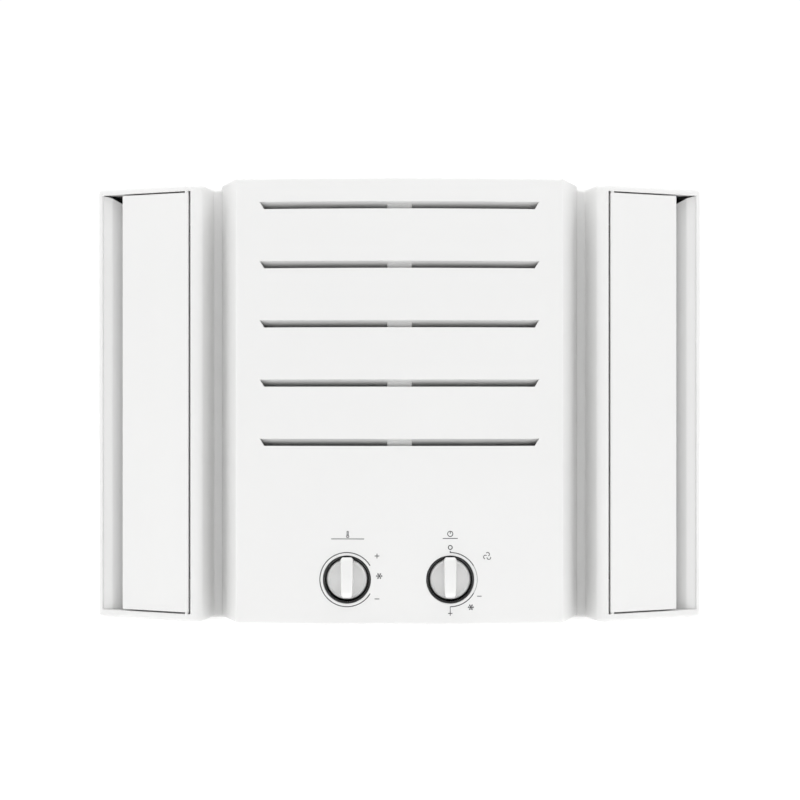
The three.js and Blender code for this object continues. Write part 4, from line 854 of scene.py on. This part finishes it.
def knob_grip(x, z, width):
    """A bar across the knob: a section with rounded shoulders carried from the tail to the pointer. Its front
    follows a parabola along the bar, and its ends draw in along a quarter circle."""
    tail, pointer = -0.0144, 0.0171
    along = np.linspace(0, 1, 49)
    along = (1 - np.cos(along * math.pi)) / 2
    height = tail + (pointer - tail) * along
    half = width / 2 * (0.89 + 0.11 * along)
    front = -0.0060 + 9.0 * (height - 0.0015) ** 2
    near_tail = np.clip(1 - (height - tail) / 0.0052, 0, 1)
    near_tip = np.clip(1 - (pointer - height) / 0.0030, 0, 1)
    half = half * np.sqrt(1 - 0.62 * near_tip ** 2.4 - 0.55 * near_tail ** 2.4)
    front = front + 0.0062 * (1 - np.sqrt(1 - near_tail ** 2)) + 0.0020 * (1 - np.sqrt(1 - near_tip ** 2))
    foot = np.where(height > 0.0142, 0.0004, 0.0085)
    turn = np.linspace(0, math.pi / 2, 6)
    radius = 0.0011
    shoulder_x = 1 - radius / 0.0047 * (1 - np.cos(turn))
    shoulder_d = radius * (1 - np.sin(turn))
    side = np.concatenate([[1.07], shoulder_x])
    left = -side[::-1]
    across = np.concatenate([side, left])
    drop = np.concatenate([[np.nan], shoulder_d, shoulder_d[::-1], [np.nan]])
    depth = np.where(np.isnan(drop)[None], np.maximum(foot, front + 0.002)[:, None],
                     front[:, None] + np.nan_to_num(drop)[None])
    points = np.dstack([x + half[:, None] * across[None], depth, z + np.repeat(height[:, None], len(across), 1)])
    count = len(across)
    faces = grid_quads(len(height), count, closed=True).tolist()
    faces += [list(range(count)), [(len(height) - 1) * count + i for i in range(count)][::-1]]
    return into_frame(points.reshape(-1, 3)), faces


def knob_well(x, z, radius):
    """A cup turned about the knob's axis, with a rounded lip and a hole in its floor."""
    lip, floor, wall = 0.0013, 0.01189, 0.0013
    turn = np.linspace(0, math.pi, 7)
    edge = np.stack([radius - wall / 2 + wall / 2 * np.cos(turn), lip + wall / 2 * (1 - np.sin(turn))], 1)
    profile = np.vstack([[[0.004, floor], [radius - 0.0006, floor], [radius, floor - 0.0006]], edge,
                         [[radius - wall, floor - 0.0020], [radius - wall - 0.0006, floor - 0.0014],
                          [0.004, floor - 0.0014], [0.004, floor]]])
    return turned(profile, about_knob(x, z), 96)


def ribbon(path, width, closed=False):
    """A flat strip of ink along a path of (x, z) places, laid on the bowed face."""
    path = np.asarray(path, float)
    side = path_normals(path, closed) * width / 2
    edges = np.stack([path + side, path - side], 1).reshape(-1, 2)
    count = len(path)
    first = np.arange(count if closed else count - 1)
    following = (first + 1) % count
    faces = np.stack([first * 2, following * 2, following * 2 + 1, first * 2 + 1], 1)
    bow = bpy.context.scene.unit_front.bow
    depth = bow_depth(edges[:, 0], bow) - 0.00006
    return into_frame(np.stack([edges[:, 0], depth, edges[:, 1]], 1)), faces.tolist()


def arc(x, z, radius, start, end, steps=64):
    """Points of a circle's arc between two angles in degrees, counted from the right and turning upwards."""
    angle = np.radians(np.linspace(start, end, steps))
    return np.stack([x + radius * np.cos(angle), z + radius * np.sin(angle)], 1)


def stroke(x, z, length, angle, width):
    """One straight line of ink through a middle, at an angle in degrees."""
    turn = math.radians(angle)
    reach = np.array([math.cos(turn), math.sin(turn)]) * length / 2
    return ribbon([np.array([x, z]) - reach, np.array([x, z]) + reach], width)


def plus(x, z, size, width):
    return [stroke(x, z, size, 0, width), stroke(x, z, size, 90, width)]


def snowflake(x, z, size, width):
    """Three crossing lines with a short barb across each of their six ends."""
    shapes = [stroke(x, z, size, angle, width) for angle in (0, 60, 120)]
    for angle in range(0, 360, 60):
        turn = math.radians(angle)
        cx, cz = x + 0.34 * size * math.cos(turn), z + 0.34 * size * math.sin(turn)
        shapes.append(stroke(cx, cz, size * 0.26, angle + 90, width * 0.8))
    return shapes


def propeller(x, z, size, width):
    """Three curved blades, each the arc of a circle that starts at the hub."""
    shapes = []
    for angle in (80, 200, 320):
        turn = math.radians(angle)
        cx, cz = x + 0.27 * size * math.cos(turn), z + 0.27 * size * math.sin(turn)
        shapes.append(ribbon(arc(cx, cz, 0.24 * size, angle - 150, angle + 60, 18), width))
    return shapes


def thermometer(x, z, size, width):
    """A bulb with a narrow stem above it."""
    shapes = [ribbon(arc(x, z - size * 0.32, size * 0.16, 0, 360, 20)[:-1], width, closed=True)]
    stem = [[x - size * 0.08, z - size * 0.16], [x - size * 0.08, z + size * 0.36],
            [x + size * 0.08, z + size * 0.36], [x + size * 0.08, z - size * 0.16]]
    return shapes + [ribbon(stem, width)]


def dial(x, z, size, width):
    """A circle with a short line from its middle."""
    return [ribbon(arc(x, z, size * 0.40, 0, 360, 28)[:-1], width, closed=True),
            stroke(x, z + size * 0.2, size * 0.36, 90, width)]


def temperature_scale(sizes):
    (x, z), line = knob_places()[0], sizes.line
    shapes = [ribbon(arc(x, z, sizes.scale_radius, 31, 329, 120), line)]
    shapes += plus(x + 0.0230, z + 0.0181, 0.0036, line * 0.8)
    shapes += snowflake(x + 0.0247, z + 0.0028, 0.0050, line * 0.8)
    shapes.append(stroke(x + 0.0230, z - 0.0147, 0.0036, 0, line * 0.8))
    shapes.append(stroke(x + 0.0006, z + 0.0311, 0.0252, 0, line * 0.8))
    shapes += thermometer(x + 0.0006, z + 0.0348, 0.0056, line * 0.8)
    return several(shapes)


def mode_scale(sizes):
    (x, z), line = knob_places()[1], sizes.line
    radius = sizes.scale_radius
    shapes = [ribbon(arc(x, z, radius, 90, 30.4), line), ribbon(arc(x, z, radius, -30.2, -90), line),
              ribbon(arc(x, z + 0.0246, 0.0015, 0, 360, 24)[:-1], line, closed=True),
              stroke(x, z + radius + 0.0005, 0.0016, 90, line), stroke(x, z - radius - 0.0016, 0.0034, 90, line * 0.6)]
    shapes += plus(x, z - 0.0258, 0.0034, line * 0.8)
    shapes.append(stroke(x + 0.0223, z - 0.0128, 0.0034, 0, line * 0.8))
    shapes += snowflake(x + 0.0158, z - 0.0212, 0.0048, line * 0.8)
    shapes += propeller(x + 0.0284, z + 0.0177, 0.0058, line * 0.8)
    shapes.append(stroke(x, z + 0.0315, 0.0115, 0, line * 0.8))
    shapes += dial(x, z + 0.0350, 0.0050, line * 0.8)
    return several(shapes)


def mode_off_band(sizes):
    (x, z), radius = knob_places()[1], sizes.scale_radius
    return ribbon(arc(x, z, radius, 30.4, -30.2), sizes.line * 0.8)


# ---------- air path ----------


def outlet_grille():
    """A frame of four rounded bars with twelve level slats between them."""
    (x0, y0, z0), (x1, y1, z1) = GRILLE_LOW, GRILLE_HIGH
    side, cap = 0.005, 0.006
    shapes = [slab([x0, y0, z0], [x0 + side, y1, z1], 0.0006), slab([x1 - side, y0, z0], [x1, y1, z1], 0.0006),
              slab([x0, y0, z0], [x1, y1, z0 + cap], 0.0006), slab([x0, y0, z1 - cap], [x1, y1, z1], 0.0006)]
    for i in range(12):
        z = z0 + cap + (i + 1) * (z1 - z0 - 2 * cap) / 13
        shapes.append(slab([x0 + 0.004, y0 + 0.001, z - 0.0009], [x1 - 0.004, y1 - 0.001, z + 0.0009], 0.0006))
    return several(shapes)


def filter_frame():
    """The filter's rim, its three posts and four rails, and the finger tab that stands above the front."""
    (x0, y0, z0), (x1, y1, _) = FILTER_LOW, FILTER_HIGH
    top, rim = FRAME_HIGH[2] - 0.001, 0.006
    shapes = [slab([x0, y0, z0], [x0 + rim, y1, top], 0.0007), slab([x1 - rim, y0, z0], [x1, y1, top], 0.0007),
              slab([x0, y0, z0], [x1, y1, z0 + rim], 0.0007), slab([x0, y0, top - 0.012], [x1, y1, top], 0.0007),
              slab([-0.030, y0 + 0.0006, top - 0.002], [0.030, y1 - 0.0006, FILTER_HIGH[2]], 0.0008)]
    for share in (-0.5, 0, 0.5):
        x = share * x1
        shapes.append(slab([x - 0.001, y0, z0 + 0.002], [x + 0.001, y1, top - 0.010], 0.0004))
    for i in range(1, 5):
        z = z0 + i * (top - z0) / 5
        shapes.append(slab([x0 + 0.003, y0 + 0.0004, z - 0.001], [x1 - 0.003, y1 - 0.0004, z + 0.001], 0.0004))
    return several(shapes)


def plates(low, high, count, axis, thickness):
    """Thin plates of one thickness, evenly spaced between two corners along an axis."""
    low, high = np.array(low, float), np.array(high, float)
    unit = np.array([[0, 0, 0], [1, 0, 0], [1, 1, 0], [0, 1, 0], [0, 0, 1], [1, 0, 1], [1, 1, 1], [0, 1, 1]], float)
    face = np.array([[0, 3, 2, 1], [4, 5, 6, 7], [0, 1, 5, 4], [1, 2, 6, 5], [2, 3, 7, 6], [3, 0, 4, 7]])
    size = high - low
    size[axis] = thickness
    start = np.repeat(low[None], count, 0)
    start[:, axis] = np.linspace(low[axis], high[axis] - thickness, count)
    points = (start[:, None] + unit[None] * size).reshape(-1, 3)
    faces = (face[None] + 8 * np.arange(count)[:, None, None]).reshape(-1, 4)
    return points, faces.tolist()


def filter_mesh(pitch):
    """Two crossed layers of fine threads, each a row of thin square rods."""
    (x0, y0, z0), (x1, y1, _) = FILTER_LOW, FILTER_HIGH
    top, middle = FRAME_HIGH[2] - 0.008, (y0 + y1) / 2
    low, high = [x0 + 0.004, middle, z0 + 0.004], [x1 - 0.004, middle + 0.0003, top]
    upright_threads = plates(low, high, int((high[0] - low[0]) / pitch), 0, 0.00035)
    low, high = [x0 + 0.004, middle - 0.0003, z0 + 0.004], [x1 - 0.004, middle, top]
    level_threads = plates(low, high, int((high[2] - low[2]) / pitch), 2, 0.00035)
    return several([upright_threads, level_threads])


def fins(node, pitch):
    """A pack of upright fins with the coil's tubes showing between them as level rods."""
    low, high = corners(node)
    count = int((high[0] - low[0]) / pitch)
    shapes = [plates(low, high, count, 0, 0.00022)]
    depth = high[1] - low[1]
    levels = np.arange(low[2] + 0.0145, high[2] - 0.008, 0.0254)
    for i, z in enumerate(levels):
        for share in (0.28, 0.72):
            y, height = low[1] + depth * share, z + (0.0127 if share > 0.5 else 0)
            if height < high[2] - 0.006:
                shapes.append(tube([[low[0] + 0.0001, y, height], [high[0] - 0.0001, y, height]], 0.0042, 12))
    return several(shapes)


# ---------- cabinet ----------


LOUVRE_SLOT = 0.0026
LOUVRE_REACH = 0.0072
TOP_SLOT_HALF = 0.046


def louvre_rows():
    """Middles of the side and top louvres: (depth range, z) on the sides and (x, depth) on the top."""
    middle = (0.0105 + SLEEVE_HIGH[2] - 0.0015) / 2 + 0.010
    side_banks = [(0.3289, 0.4069), (0.4229, 0.5009)]
    side = [(bank, middle + (i - 4) * 0.020) for bank in side_banks for i in range(9)]
    top = [(x, 0.4029 + (i - 2) * 0.018) for x in (-0.116, 0, 0.116) for i in range(5)]
    return side, top


def sleeve(fold):
    """The wrap's outline seen from the room, up one side, over the top and down the other with rounded folds,
    carried from front to back. The slots under the louvres are left out."""
    half, low, high = SLEEVE_HIGH[0], SLEEVE_LOW[2], SLEEVE_HIGH[2]
    side, top = louvre_rows()
    z_stops = filled([low, high - fold - 0.001] + [z + s * LOUVRE_SLOT for (_, z) in side for s in (-1, 1)], 0.04)
    slot_ends = [x + s * TOP_SLOT_HALF for x, _ in top for s in (-1, 1)]
    x_stops = filled([-half + fold + 0.001, half - fold - 0.001] + slot_ends, 0.05)
    corner = np.array([[-half, high]])
    outline = np.vstack([np.stack([z_stops * 0 - half, z_stops], 1), corner,
                         np.stack([x_stops, x_stops * 0 + high], 1), -corner * [1, -1],
                         np.stack([z_stops[::-1] * 0 + half, z_stops[::-1]], 1)])
    radii = [0] * (len(z_stops) - 1) + [fold] + [0] * len(x_stops) + [fold] + [0] * (len(z_stops) - 1)
    outline = rounded_path(outline, radii, 6)
    front, back = SLEEVE_LOW[1] - FACE, SLEEVE_HIGH[1] - FACE
    banks = [edge for bank, _ in side for edge in bank] + [d + s * LOUVRE_SLOT for _, d in top for s in (-1, 1)]
    depth = filled([front, back] + banks, 0.05)
    points = np.dstack([np.repeat(outline[None, :, 0], len(depth), 0), np.repeat(depth[:, None], len(outline), 1),
                        np.repeat(outline[None, :, 1], len(depth), 0)]).reshape(-1, 3)
    quads = grid_quads(len(depth), len(outline))
    centre = points[quads].mean(1)
    out = np.zeros(len(quads), bool)
    for (d0, d1), z in side:
        out |= ((np.abs(centre[:, 0]) > half - 0.0005) & (np.abs(centre[:, 2] - z) < LOUVRE_SLOT)
                & (centre[:, 1] > d0) & (centre[:, 1] < d1))
    for x, d in top:
        out |= ((centre[:, 2] > high - 0.0005) & (np.abs(centre[:, 1] - d) < LOUVRE_SLOT)
                & (np.abs(centre[:, 0] - x) < TOP_SLOT_HALF))
    return into_frame(points), quads[~out].tolist()


def hood(length, rise, reach):
    """A pressed louvre: along it the height follows one minus the eighth power of the distance from its middle,
    and across it a quarter of a sine wave, so that it opens on one long side only."""
    u, v = np.meshgrid(np.linspace(-1, 1, 17), np.linspace(0, 1, 6), indexing="ij")
    height = rise * (1 - np.abs(u) ** 8) * np.sin(v * math.pi / 2)
    return np.stack([u * length / 2, v * reach, height], 2).reshape(-1, 3), grid_quads(17, 6).tolist()


def louvre_hoods(rise):
    side, top = louvre_rows()
    half, high = SLEEVE_HIGH[0], SLEEVE_HIGH[2]
    shapes = []
    for (d0, d1), z in side:
        points, faces = hood(d1 - d0 + 0.002, rise, LOUVRE_REACH)
        right = np.stack([half - 0.0003 + points[:, 2], (d0 + d1) / 2 + points[:, 0],
                          z + LOUVRE_SLOT + 0.0016 - points[:, 1]], 1)
        shapes += [(right, faces), mirrored((right, faces))]
    for x, d in top:
        points, faces = hood(0.094, rise, LOUVRE_REACH)
        over = np.stack([x + points[:, 0], d - LOUVRE_SLOT - 0.0016 + points[:, 1], high - 0.0003 + points[:, 2]], 1)
        shapes.append((over, [face[::-1] for face in faces]))
    points, faces = several(shapes)
    return into_frame(points), faces


def rear_guard():
    """A frame with rounded corners round thirteen upright bars and two level ties, each a rounded rod."""
    (x0, y0, z0), (x1, y1, z1) = GUARD_LOW, GUARD_HIGH
    rim, sheet = 0.014, 0.002
    loops = [(0.0, y0), (0.0, y1 - 0.0012), (0.0004, y1 - 0.0004), (0.0012, y1), (rim - 0.0008, y1),
             (rim, y1 - 0.0008), (rim, y1 - 0.003), (sheet, y1 - 0.003), (sheet, y0), (0.0, y0)]
    rings = []
    for inset, y in loops:
        square = [[x0 + inset, z0 + inset], [x1 - inset, z0 + inset], [x1 - inset, z1 - inset],
                  [x0 + inset, z1 - inset]]
        ring = rounded_loop(square, max(0.0006, 0.0045 - inset), 5)
        rings.append(np.column_stack([ring[:, 0], np.full(len(ring), y), ring[:, 1]]))
    count = len(rings[0])
    shapes = [(np.vstack(rings), grid_quads(len(rings), count, closed=True).tolist())]
    bars = 13
    pitch = 2 * (x1 - rim) / (bars + 1)
    for i in range(bars):
        x = (i - (bars - 1) / 2) * pitch
        shapes.append(slab([x - 0.0016, y1 - 0.004, z0 + rim - 0.002], [x + 0.0016, y1 - 0.0006, z1 - rim + 0.002],
                           0.0012, 4))
    for i in (1, 2):
        z = z0 + i * (z1 - z0) / 3
        shapes.append(slab([x0 + rim - 0.002, y1 - 0.007, z - 0.002], [x1 - rim + 0.002, y1 - 0.0016, z + 0.002],
                           0.0014, 3))
    return several(shapes)


def gland():
    """A collar and a nut turned about a level axis, with a bead round the mouth and a hole right through."""
    low, high = corners("cord_gland")
    y, z = (low[1] + high[1]) / 2, (low[2] + high[2]) / 2
    length = high[0] - low[0]
    turn = np.linspace(0, math.pi, 7)
    bead = np.stack([0.0060 + 0.0020 * np.cos(turn), length - 0.002 + 0.002 * np.sin(turn)], 1)
    profile = np.vstack([[[0.004, 0], [0.011, 0], [0.011, 0.0030], [0.0102, 0.0040], [0.0080, 0.0040]], bead,
                         [[0.004, 0]]])

    def place(points):
        return np.stack([low[0] + points[:, 2], y + points[:, 0], z + points[:, 1]], 1)
    return turned(profile, place, 40)


def screw_head(node):
    """A low dome turned about a level axis, with a small dip in its middle."""
    low, high = corners(node)
    y, z = (low[1] + high[1]) / 2, (low[2] + high[2]) / 2
    sign = 1 if low[0] > 0 else -1
    base = low[0] if sign > 0 else high[0]
    radius, rise = (high[1] - low[1]) / 2, high[0] - low[0]
    share = np.linspace(0, 1, 9)
    dome = np.stack([radius * np.cos(share * math.pi / 2), rise * (0.35 + 0.65 * np.sin(share * math.pi / 2))], 1)
    dip = np.array([[radius * 0.12, rise * 0.55], [0, rise * 0.5]])
    profile = np.vstack([[[0, 0], [radius, 0]], dome[:-2], [[radius * 0.2, rise * 0.98]], dip])

    def place(points):
        return np.stack([base + sign * points[:, 2], y + points[:, 0], z + points[:, 1]], 1)
    return turned(profile, place, 24)


# ---------- stage ----------

ROUND_LIGHT = 0.87
FRONT_LIGHT = 0.04
FACING_RANGE = (0.45, 0.98)
SEEN_WHITE = 1.05
FLOOR_GLOW = 0.42
OVERHEAD_PLACE = (0, -0.55, 1.2)
OVERHEAD_TARGET = (0, -0.15, 0.25)
OVERHEAD_SIZE = (1.6, 0.7)
OVERHEAD_POWER = 6.8
FOCAL_LENGTH = 88.36
SENSOR_WIDTH = 36.0
CAMERA_X = 0.0004
CAMERA_HEIGHT = 0.1729
CAMERA_DISTANCE = 1.5


def soft_light(name, place, target, size, power):
    """A rectangular lamp at a place, turned to its target."""
    lamp = bpy.data.lights.new(name, "AREA")
    lamp.shape = "RECTANGLE"
    lamp.size, lamp.size_y = size
    lamp.energy = power
    light = bpy.data.objects.new(name, lamp)
    light.location = place
    light.rotation_euler = (Vector(target) - Vector(place)).to_track_quat("-Z", "Y").to_euler()
    bpy.context.scene.collection.objects.link(light)
    return light


def studio_world(tree):
    """A white studio all round that is dimmer towards the room side, where the camera stands. Seen directly it
    is plain white."""
    background = tree.nodes["Background"]
    background.inputs["Color"].default_value = (1, 1, 1, 1)
    place = shader_node(tree, "ShaderNodeTexCoord", (-1000, 0))
    facing = tree.nodes.new("ShaderNodeVectorMath")
    facing.operation = "DOT_PRODUCT"
    facing.location = (-800, 0)
    facing.inputs[1].default_value = (0, -1, 0)
    tree.links.new(place.outputs["Generated"], facing.inputs[0])
    around = remapped(tree, facing.outputs["Value"], FACING_RANGE, (ROUND_LIGHT, FRONT_LIGHT), (-600, 0))
    rays = shader_node(tree, "ShaderNodeLightPath", (-600, -300))
    seen = tree.nodes.new("ShaderNodeMix")
    seen.location = (-300, 0)
    tree.links.new(rays.outputs["Is Camera Ray"], seen.inputs[0])
    tree.links.new(around, seen.inputs[2])
    seen.inputs[3].default_value = SEEN_WHITE
    tree.links.new(seen.outputs[0], background.inputs["Strength"])


def floor_sheet():
    """A level square of ground: every point of the grid lies at height zero."""
    x, y = np.meshgrid(np.linspace(-6, 6, 5), np.linspace(-6, 6, 5))
    points = np.stack([x.ravel(), y.ravel(), np.zeros(x.size)], 1)
    return points, grid_quads(5, 5).tolist()


def white_floor():
    """The floor's finish: nearly white and matt with a faint mottle, and slightly luminous."""
    material = procedural("studio_white", (0.93, 0.93, 0.93), 0.9, mottle=0.004, grain=60, bump=0.0, scuff=0.0,
                          dust_amount=0.0)
    shader = next(node for node in material.node_tree.nodes if node.type == "BSDF_PRINCIPLED")
    shader.inputs["Emission Color"].default_value = (1, 1, 1, 1)
    shader.inputs["Emission Strength"].default_value = FLOOR_GLOW
    return material


class BuildsPieces:
    """Shared by the operators: stops when a piece could not be made."""

    bl_options = {"REGISTER", "UNDO"}

    def execute(self, context):
        self.materials = finishes()
        before = len(bpy.data.objects)
        self.build(context.scene)
        if len(bpy.data.objects) <= before:
            raise RuntimeError(self.bl_label + " made nothing")
        return {"FINISHED"}

    def make(self, name, shape, body, finish, slot, replaces=(), **options):
        return new_piece(name, shape, body, self.materials[finish], slot, replaces, **options)


class UNIT_OT_front(BuildsPieces, bpy.types.Operator):
    """Build the moulded front with its linings, rim and filter guides"""

    bl_idname = "unit.front"
    bl_label = "Build moulded front"

    def build(self, scene):
        sizes = scene.unit_front
        self.make("front_shell", front_shell(sizes), "cabinet", "white_plastic", "white_plastic",
                  ("front_frame",), wall=sizes.wall, bevel=0.0005, outward=False)
        self.make("front_lining", wing_lining(sizes.shoulder), "cabinet", "white_plastic", "white_plastic",
                  wall=0.0012, outward=False)
        self.make("deflectors", deflector(), "cabinet", "white_plastic", "white_plastic", wall=0.0022,
                  bevel=0.0004, outward=False)
        self.make("front_rim", back_rim(), "cabinet", "white_plastic", "white_plastic")
        self.make("filter_guides", filter_guides(), "cabinet", "white_plastic", "white_plastic", bevel=0.0004)


class UNIT_OT_panel(BuildsPieces, bpy.types.Operator):
    """Build the bowed centre panel with its slots, lips and rib"""

    bl_idname = "unit.panel"
    bl_label = "Build centre panel"

    def build(self, scene):
        self.make("panel_shell", centre_panel(scene.unit_front), "cabinet", "panel_plastic", "white_plastic",
                  ("centre_panel",), wall=0.0024, bevel=0.0006, outward=False)
        self.make("panel_lips", slot_lips(scene.unit_front), "cabinet", "slot_plastic", "white_plastic")


class UNIT_OT_flaps(BuildsPieces, bpy.types.Operator):
    """Build the two hinged side flaps"""

    bl_idname = "unit.flaps"
    bl_label = "Build side flaps"

    def build(self, scene):
        for side, sign in (("left", -1), ("right", 1)):
            self.make(side + "_flap_board", flap(sign), side + "_flap", "white_plastic", "white_plastic",
                      (side + "_flap",))


class UNIT_OT_knobs(BuildsPieces, bpy.types.Operator):
    """Build the knobs, the dark wells round them and the printed scales"""

    bl_idname = "unit.knobs"
    bl_label = "Build knobs and scales"

    def build(self, scene):
        sizes = scene.unit_knobs
        for name, (x, z) in zip(("temperature", "mode"), knob_places()):
            skirt = knob_skirt(x, z, sizes.disc / 2)
            self.make(name + "_knob_body", several([skirt, knob_grip(x, z, sizes.grip)]), name + "_knob",
                      "knob_plastic", "white_plastic", (name + "_knob",))
            self.make(name + "_well_cup", knob_well(x, z, sizes.well / 2 - 0.0003), "cabinet", "black_plastic",
                      "black_plastic", (name + "_well",))
        ink = 0.00004
        self.make("temperature_scale", temperature_scale(sizes), "cabinet", "scale_ink", "black_plastic", wall=ink)
        self.make("mode_scale", mode_scale(sizes), "cabinet", "scale_ink", "black_plastic", wall=ink)
        self.make("mode_off_band", mode_off_band(sizes), "cabinet", "pale_ink", "black_plastic", wall=ink)


class UNIT_OT_air_path(BuildsPieces, bpy.types.Operator):
    """Build the outlet grilles, the filter and the fin packs"""

    bl_idname = "unit.air_path"
    bl_label = "Build air path"

    def build(self, scene):
        sizes = scene.unit_cabinet
        grille = outlet_grille()
        self.make("right_grille_bars", grille, "cabinet", "grey_plastic", "grey_plastic", ("right_outlet_grille",))
        self.make("left_grille_bars", mirrored(grille), "cabinet", "grey_plastic", "grey_plastic",
                  ("left_outlet_grille",))
        self.make("filter_frame", filter_frame(), "air_filter", "grey_plastic", "grey_plastic", ("air_filter",))
        self.make("filter_mesh", filter_mesh(sizes.mesh_pitch), "air_filter", "dark_lining", "grey_plastic")
        for coil in ("evaporator", "condenser"):
            self.make(coil + "_fin_pack", fins(coil + "_fins", sizes.fin_pitch), "cabinet", "aluminium",
                      "coil_aluminium", (coil + "_fins",))


class UNIT_OT_cabinet(BuildsPieces, bpy.types.Operator):
    """Build the steel wrap with its louvres, the rear guard, the gland and the screws"""

    bl_idname = "unit.cabinet"
    bl_label = "Build cabinet"

    def build(self, scene):
        sizes = scene.unit_cabinet
        self.make("cabinet_wrap", sleeve(sizes.fold), "cabinet", "cabinet_paint", "painted_steel",
                  ("cabinet_sleeve",), wall=0.0012, outward=False)
        self.make("cabinet_louvres", louvre_hoods(sizes.louvre_rise), "cabinet", "cabinet_paint", "painted_steel",
                  wall=0.0007, outward=False)
        self.make("guard_grille", rear_guard(), "cabinet", "cabinet_paint", "painted_steel", ("rear_guard",))
        self.make("gland_body", gland(), "cabinet", "black_plastic", "black_plastic", ("cord_gland",))
        for side in ("left", "right"):
            for number in ("1", "2"):
                node = side + "_cabinet_screw_" + number
                self.make(side + "_screw_head_" + number, screw_head(node), "cabinet", "galvanized",
                          "galvanized_steel", (node,))


class UNIT_OT_inner_finishes(bpy.types.Operator):
    """Give every node of the fixed frame its finish"""

    bl_idname = "unit.inner_finishes"
    bl_label = "Dress inner pieces"
    bl_options = {"REGISTER", "UNDO"}

    def execute(self, context):
        dress_frame()
        return {"FINISHED"}


class UNIT_OT_stage(bpy.types.Operator):
    """Lay the floor and set the lights, the world and the camera"""

    bl_idname = "unit.stage"
    bl_label = "Set stage"
    bl_options = {"REGISTER", "UNDO"}

    def execute(self, context):
        scene = context.scene
        mesh = bpy.data.meshes.new("floor")
        points, faces = floor_sheet()
        mesh.from_pydata(points.tolist(), [], faces)
        mesh.materials.append(white_floor())
        floor = bpy.data.objects.new("floor", mesh)
        scene.collection.objects.link(floor)
        world = bpy.data.worlds.new("studio")
        world.use_nodes = True
        studio_world(world.node_tree)
        scene.world = world
        soft_light("overhead", OVERHEAD_PLACE, OVERHEAD_TARGET, OVERHEAD_SIZE, OVERHEAD_POWER)
        lens = bpy.data.cameras.new("camera")
        lens.sensor_width = SENSOR_WIDTH
        lens.lens = FOCAL_LENGTH
        lens.clip_start = 0.05
        lens.dof.use_dof = False
        camera = bpy.data.objects.new("camera", lens)
        camera.location = (CAMERA_X, FACE - CAMERA_DISTANCE, CAMERA_HEIGHT)
        camera.rotation_euler = (math.pi / 2, 0, 0)
        scene.collection.objects.link(camera)
        scene.camera = camera
        scene.view_settings.view_transform = "Standard"
        scene.view_settings.look = "None"
        return {"FINISHED"}


STEPS = ("front", "panel", "flaps", "knobs", "air_path", "cabinet", "inner_finishes", "stage")


class UNIT_PT_build(bpy.types.Panel):
    """Lists the sizes, the colours and the steps of the build"""

    bl_idname = "UNIT_PT_build"
    bl_label = "Air conditioner"
    bl_space_type = "VIEW_3D"
    bl_region_type = "UI"
    bl_category = "Air conditioner"

    def draw(self, context):
        layout = self.layout
        for group in (context.scene.unit_front, context.scene.unit_knobs, context.scene.unit_cabinet,
                      context.scene.unit_finishes):
            box = layout.box()
            box.label(text=group.bl_rna.description)
            for name in group.__class__.__annotations__:
                box.prop(group, name)
        for step in STEPS:
            layout.operator("unit." + step)


CLASSES = (FrontSizes, KnobSizes, CabinetSizes, Finishes, UNIT_OT_front, UNIT_OT_panel, UNIT_OT_flaps,
           UNIT_OT_knobs, UNIT_OT_air_path, UNIT_OT_cabinet, UNIT_OT_inner_finishes, UNIT_OT_stage, UNIT_PT_build)


def register():
    for cls in CLASSES:
        bpy.utils.register_class(cls)
    bpy.types.Scene.unit_front = bpy.props.PointerProperty(type=FrontSizes)
    bpy.types.Scene.unit_knobs = bpy.props.PointerProperty(type=KnobSizes)
    bpy.types.Scene.unit_cabinet = bpy.props.PointerProperty(type=CabinetSizes)
    bpy.types.Scene.unit_finishes = bpy.props.PointerProperty(type=Finishes)


def unregister():
    for name in ("unit_front", "unit_knobs", "unit_cabinet", "unit_finishes"):
        delattr(bpy.types.Scene, name)
    for cls in reversed(CLASSES):
        bpy.utils.unregister_class(cls)


def main():
    register()
    for step in STEPS:
        getattr(bpy.ops.unit, step)()


if __name__ == "__main__":
    main()
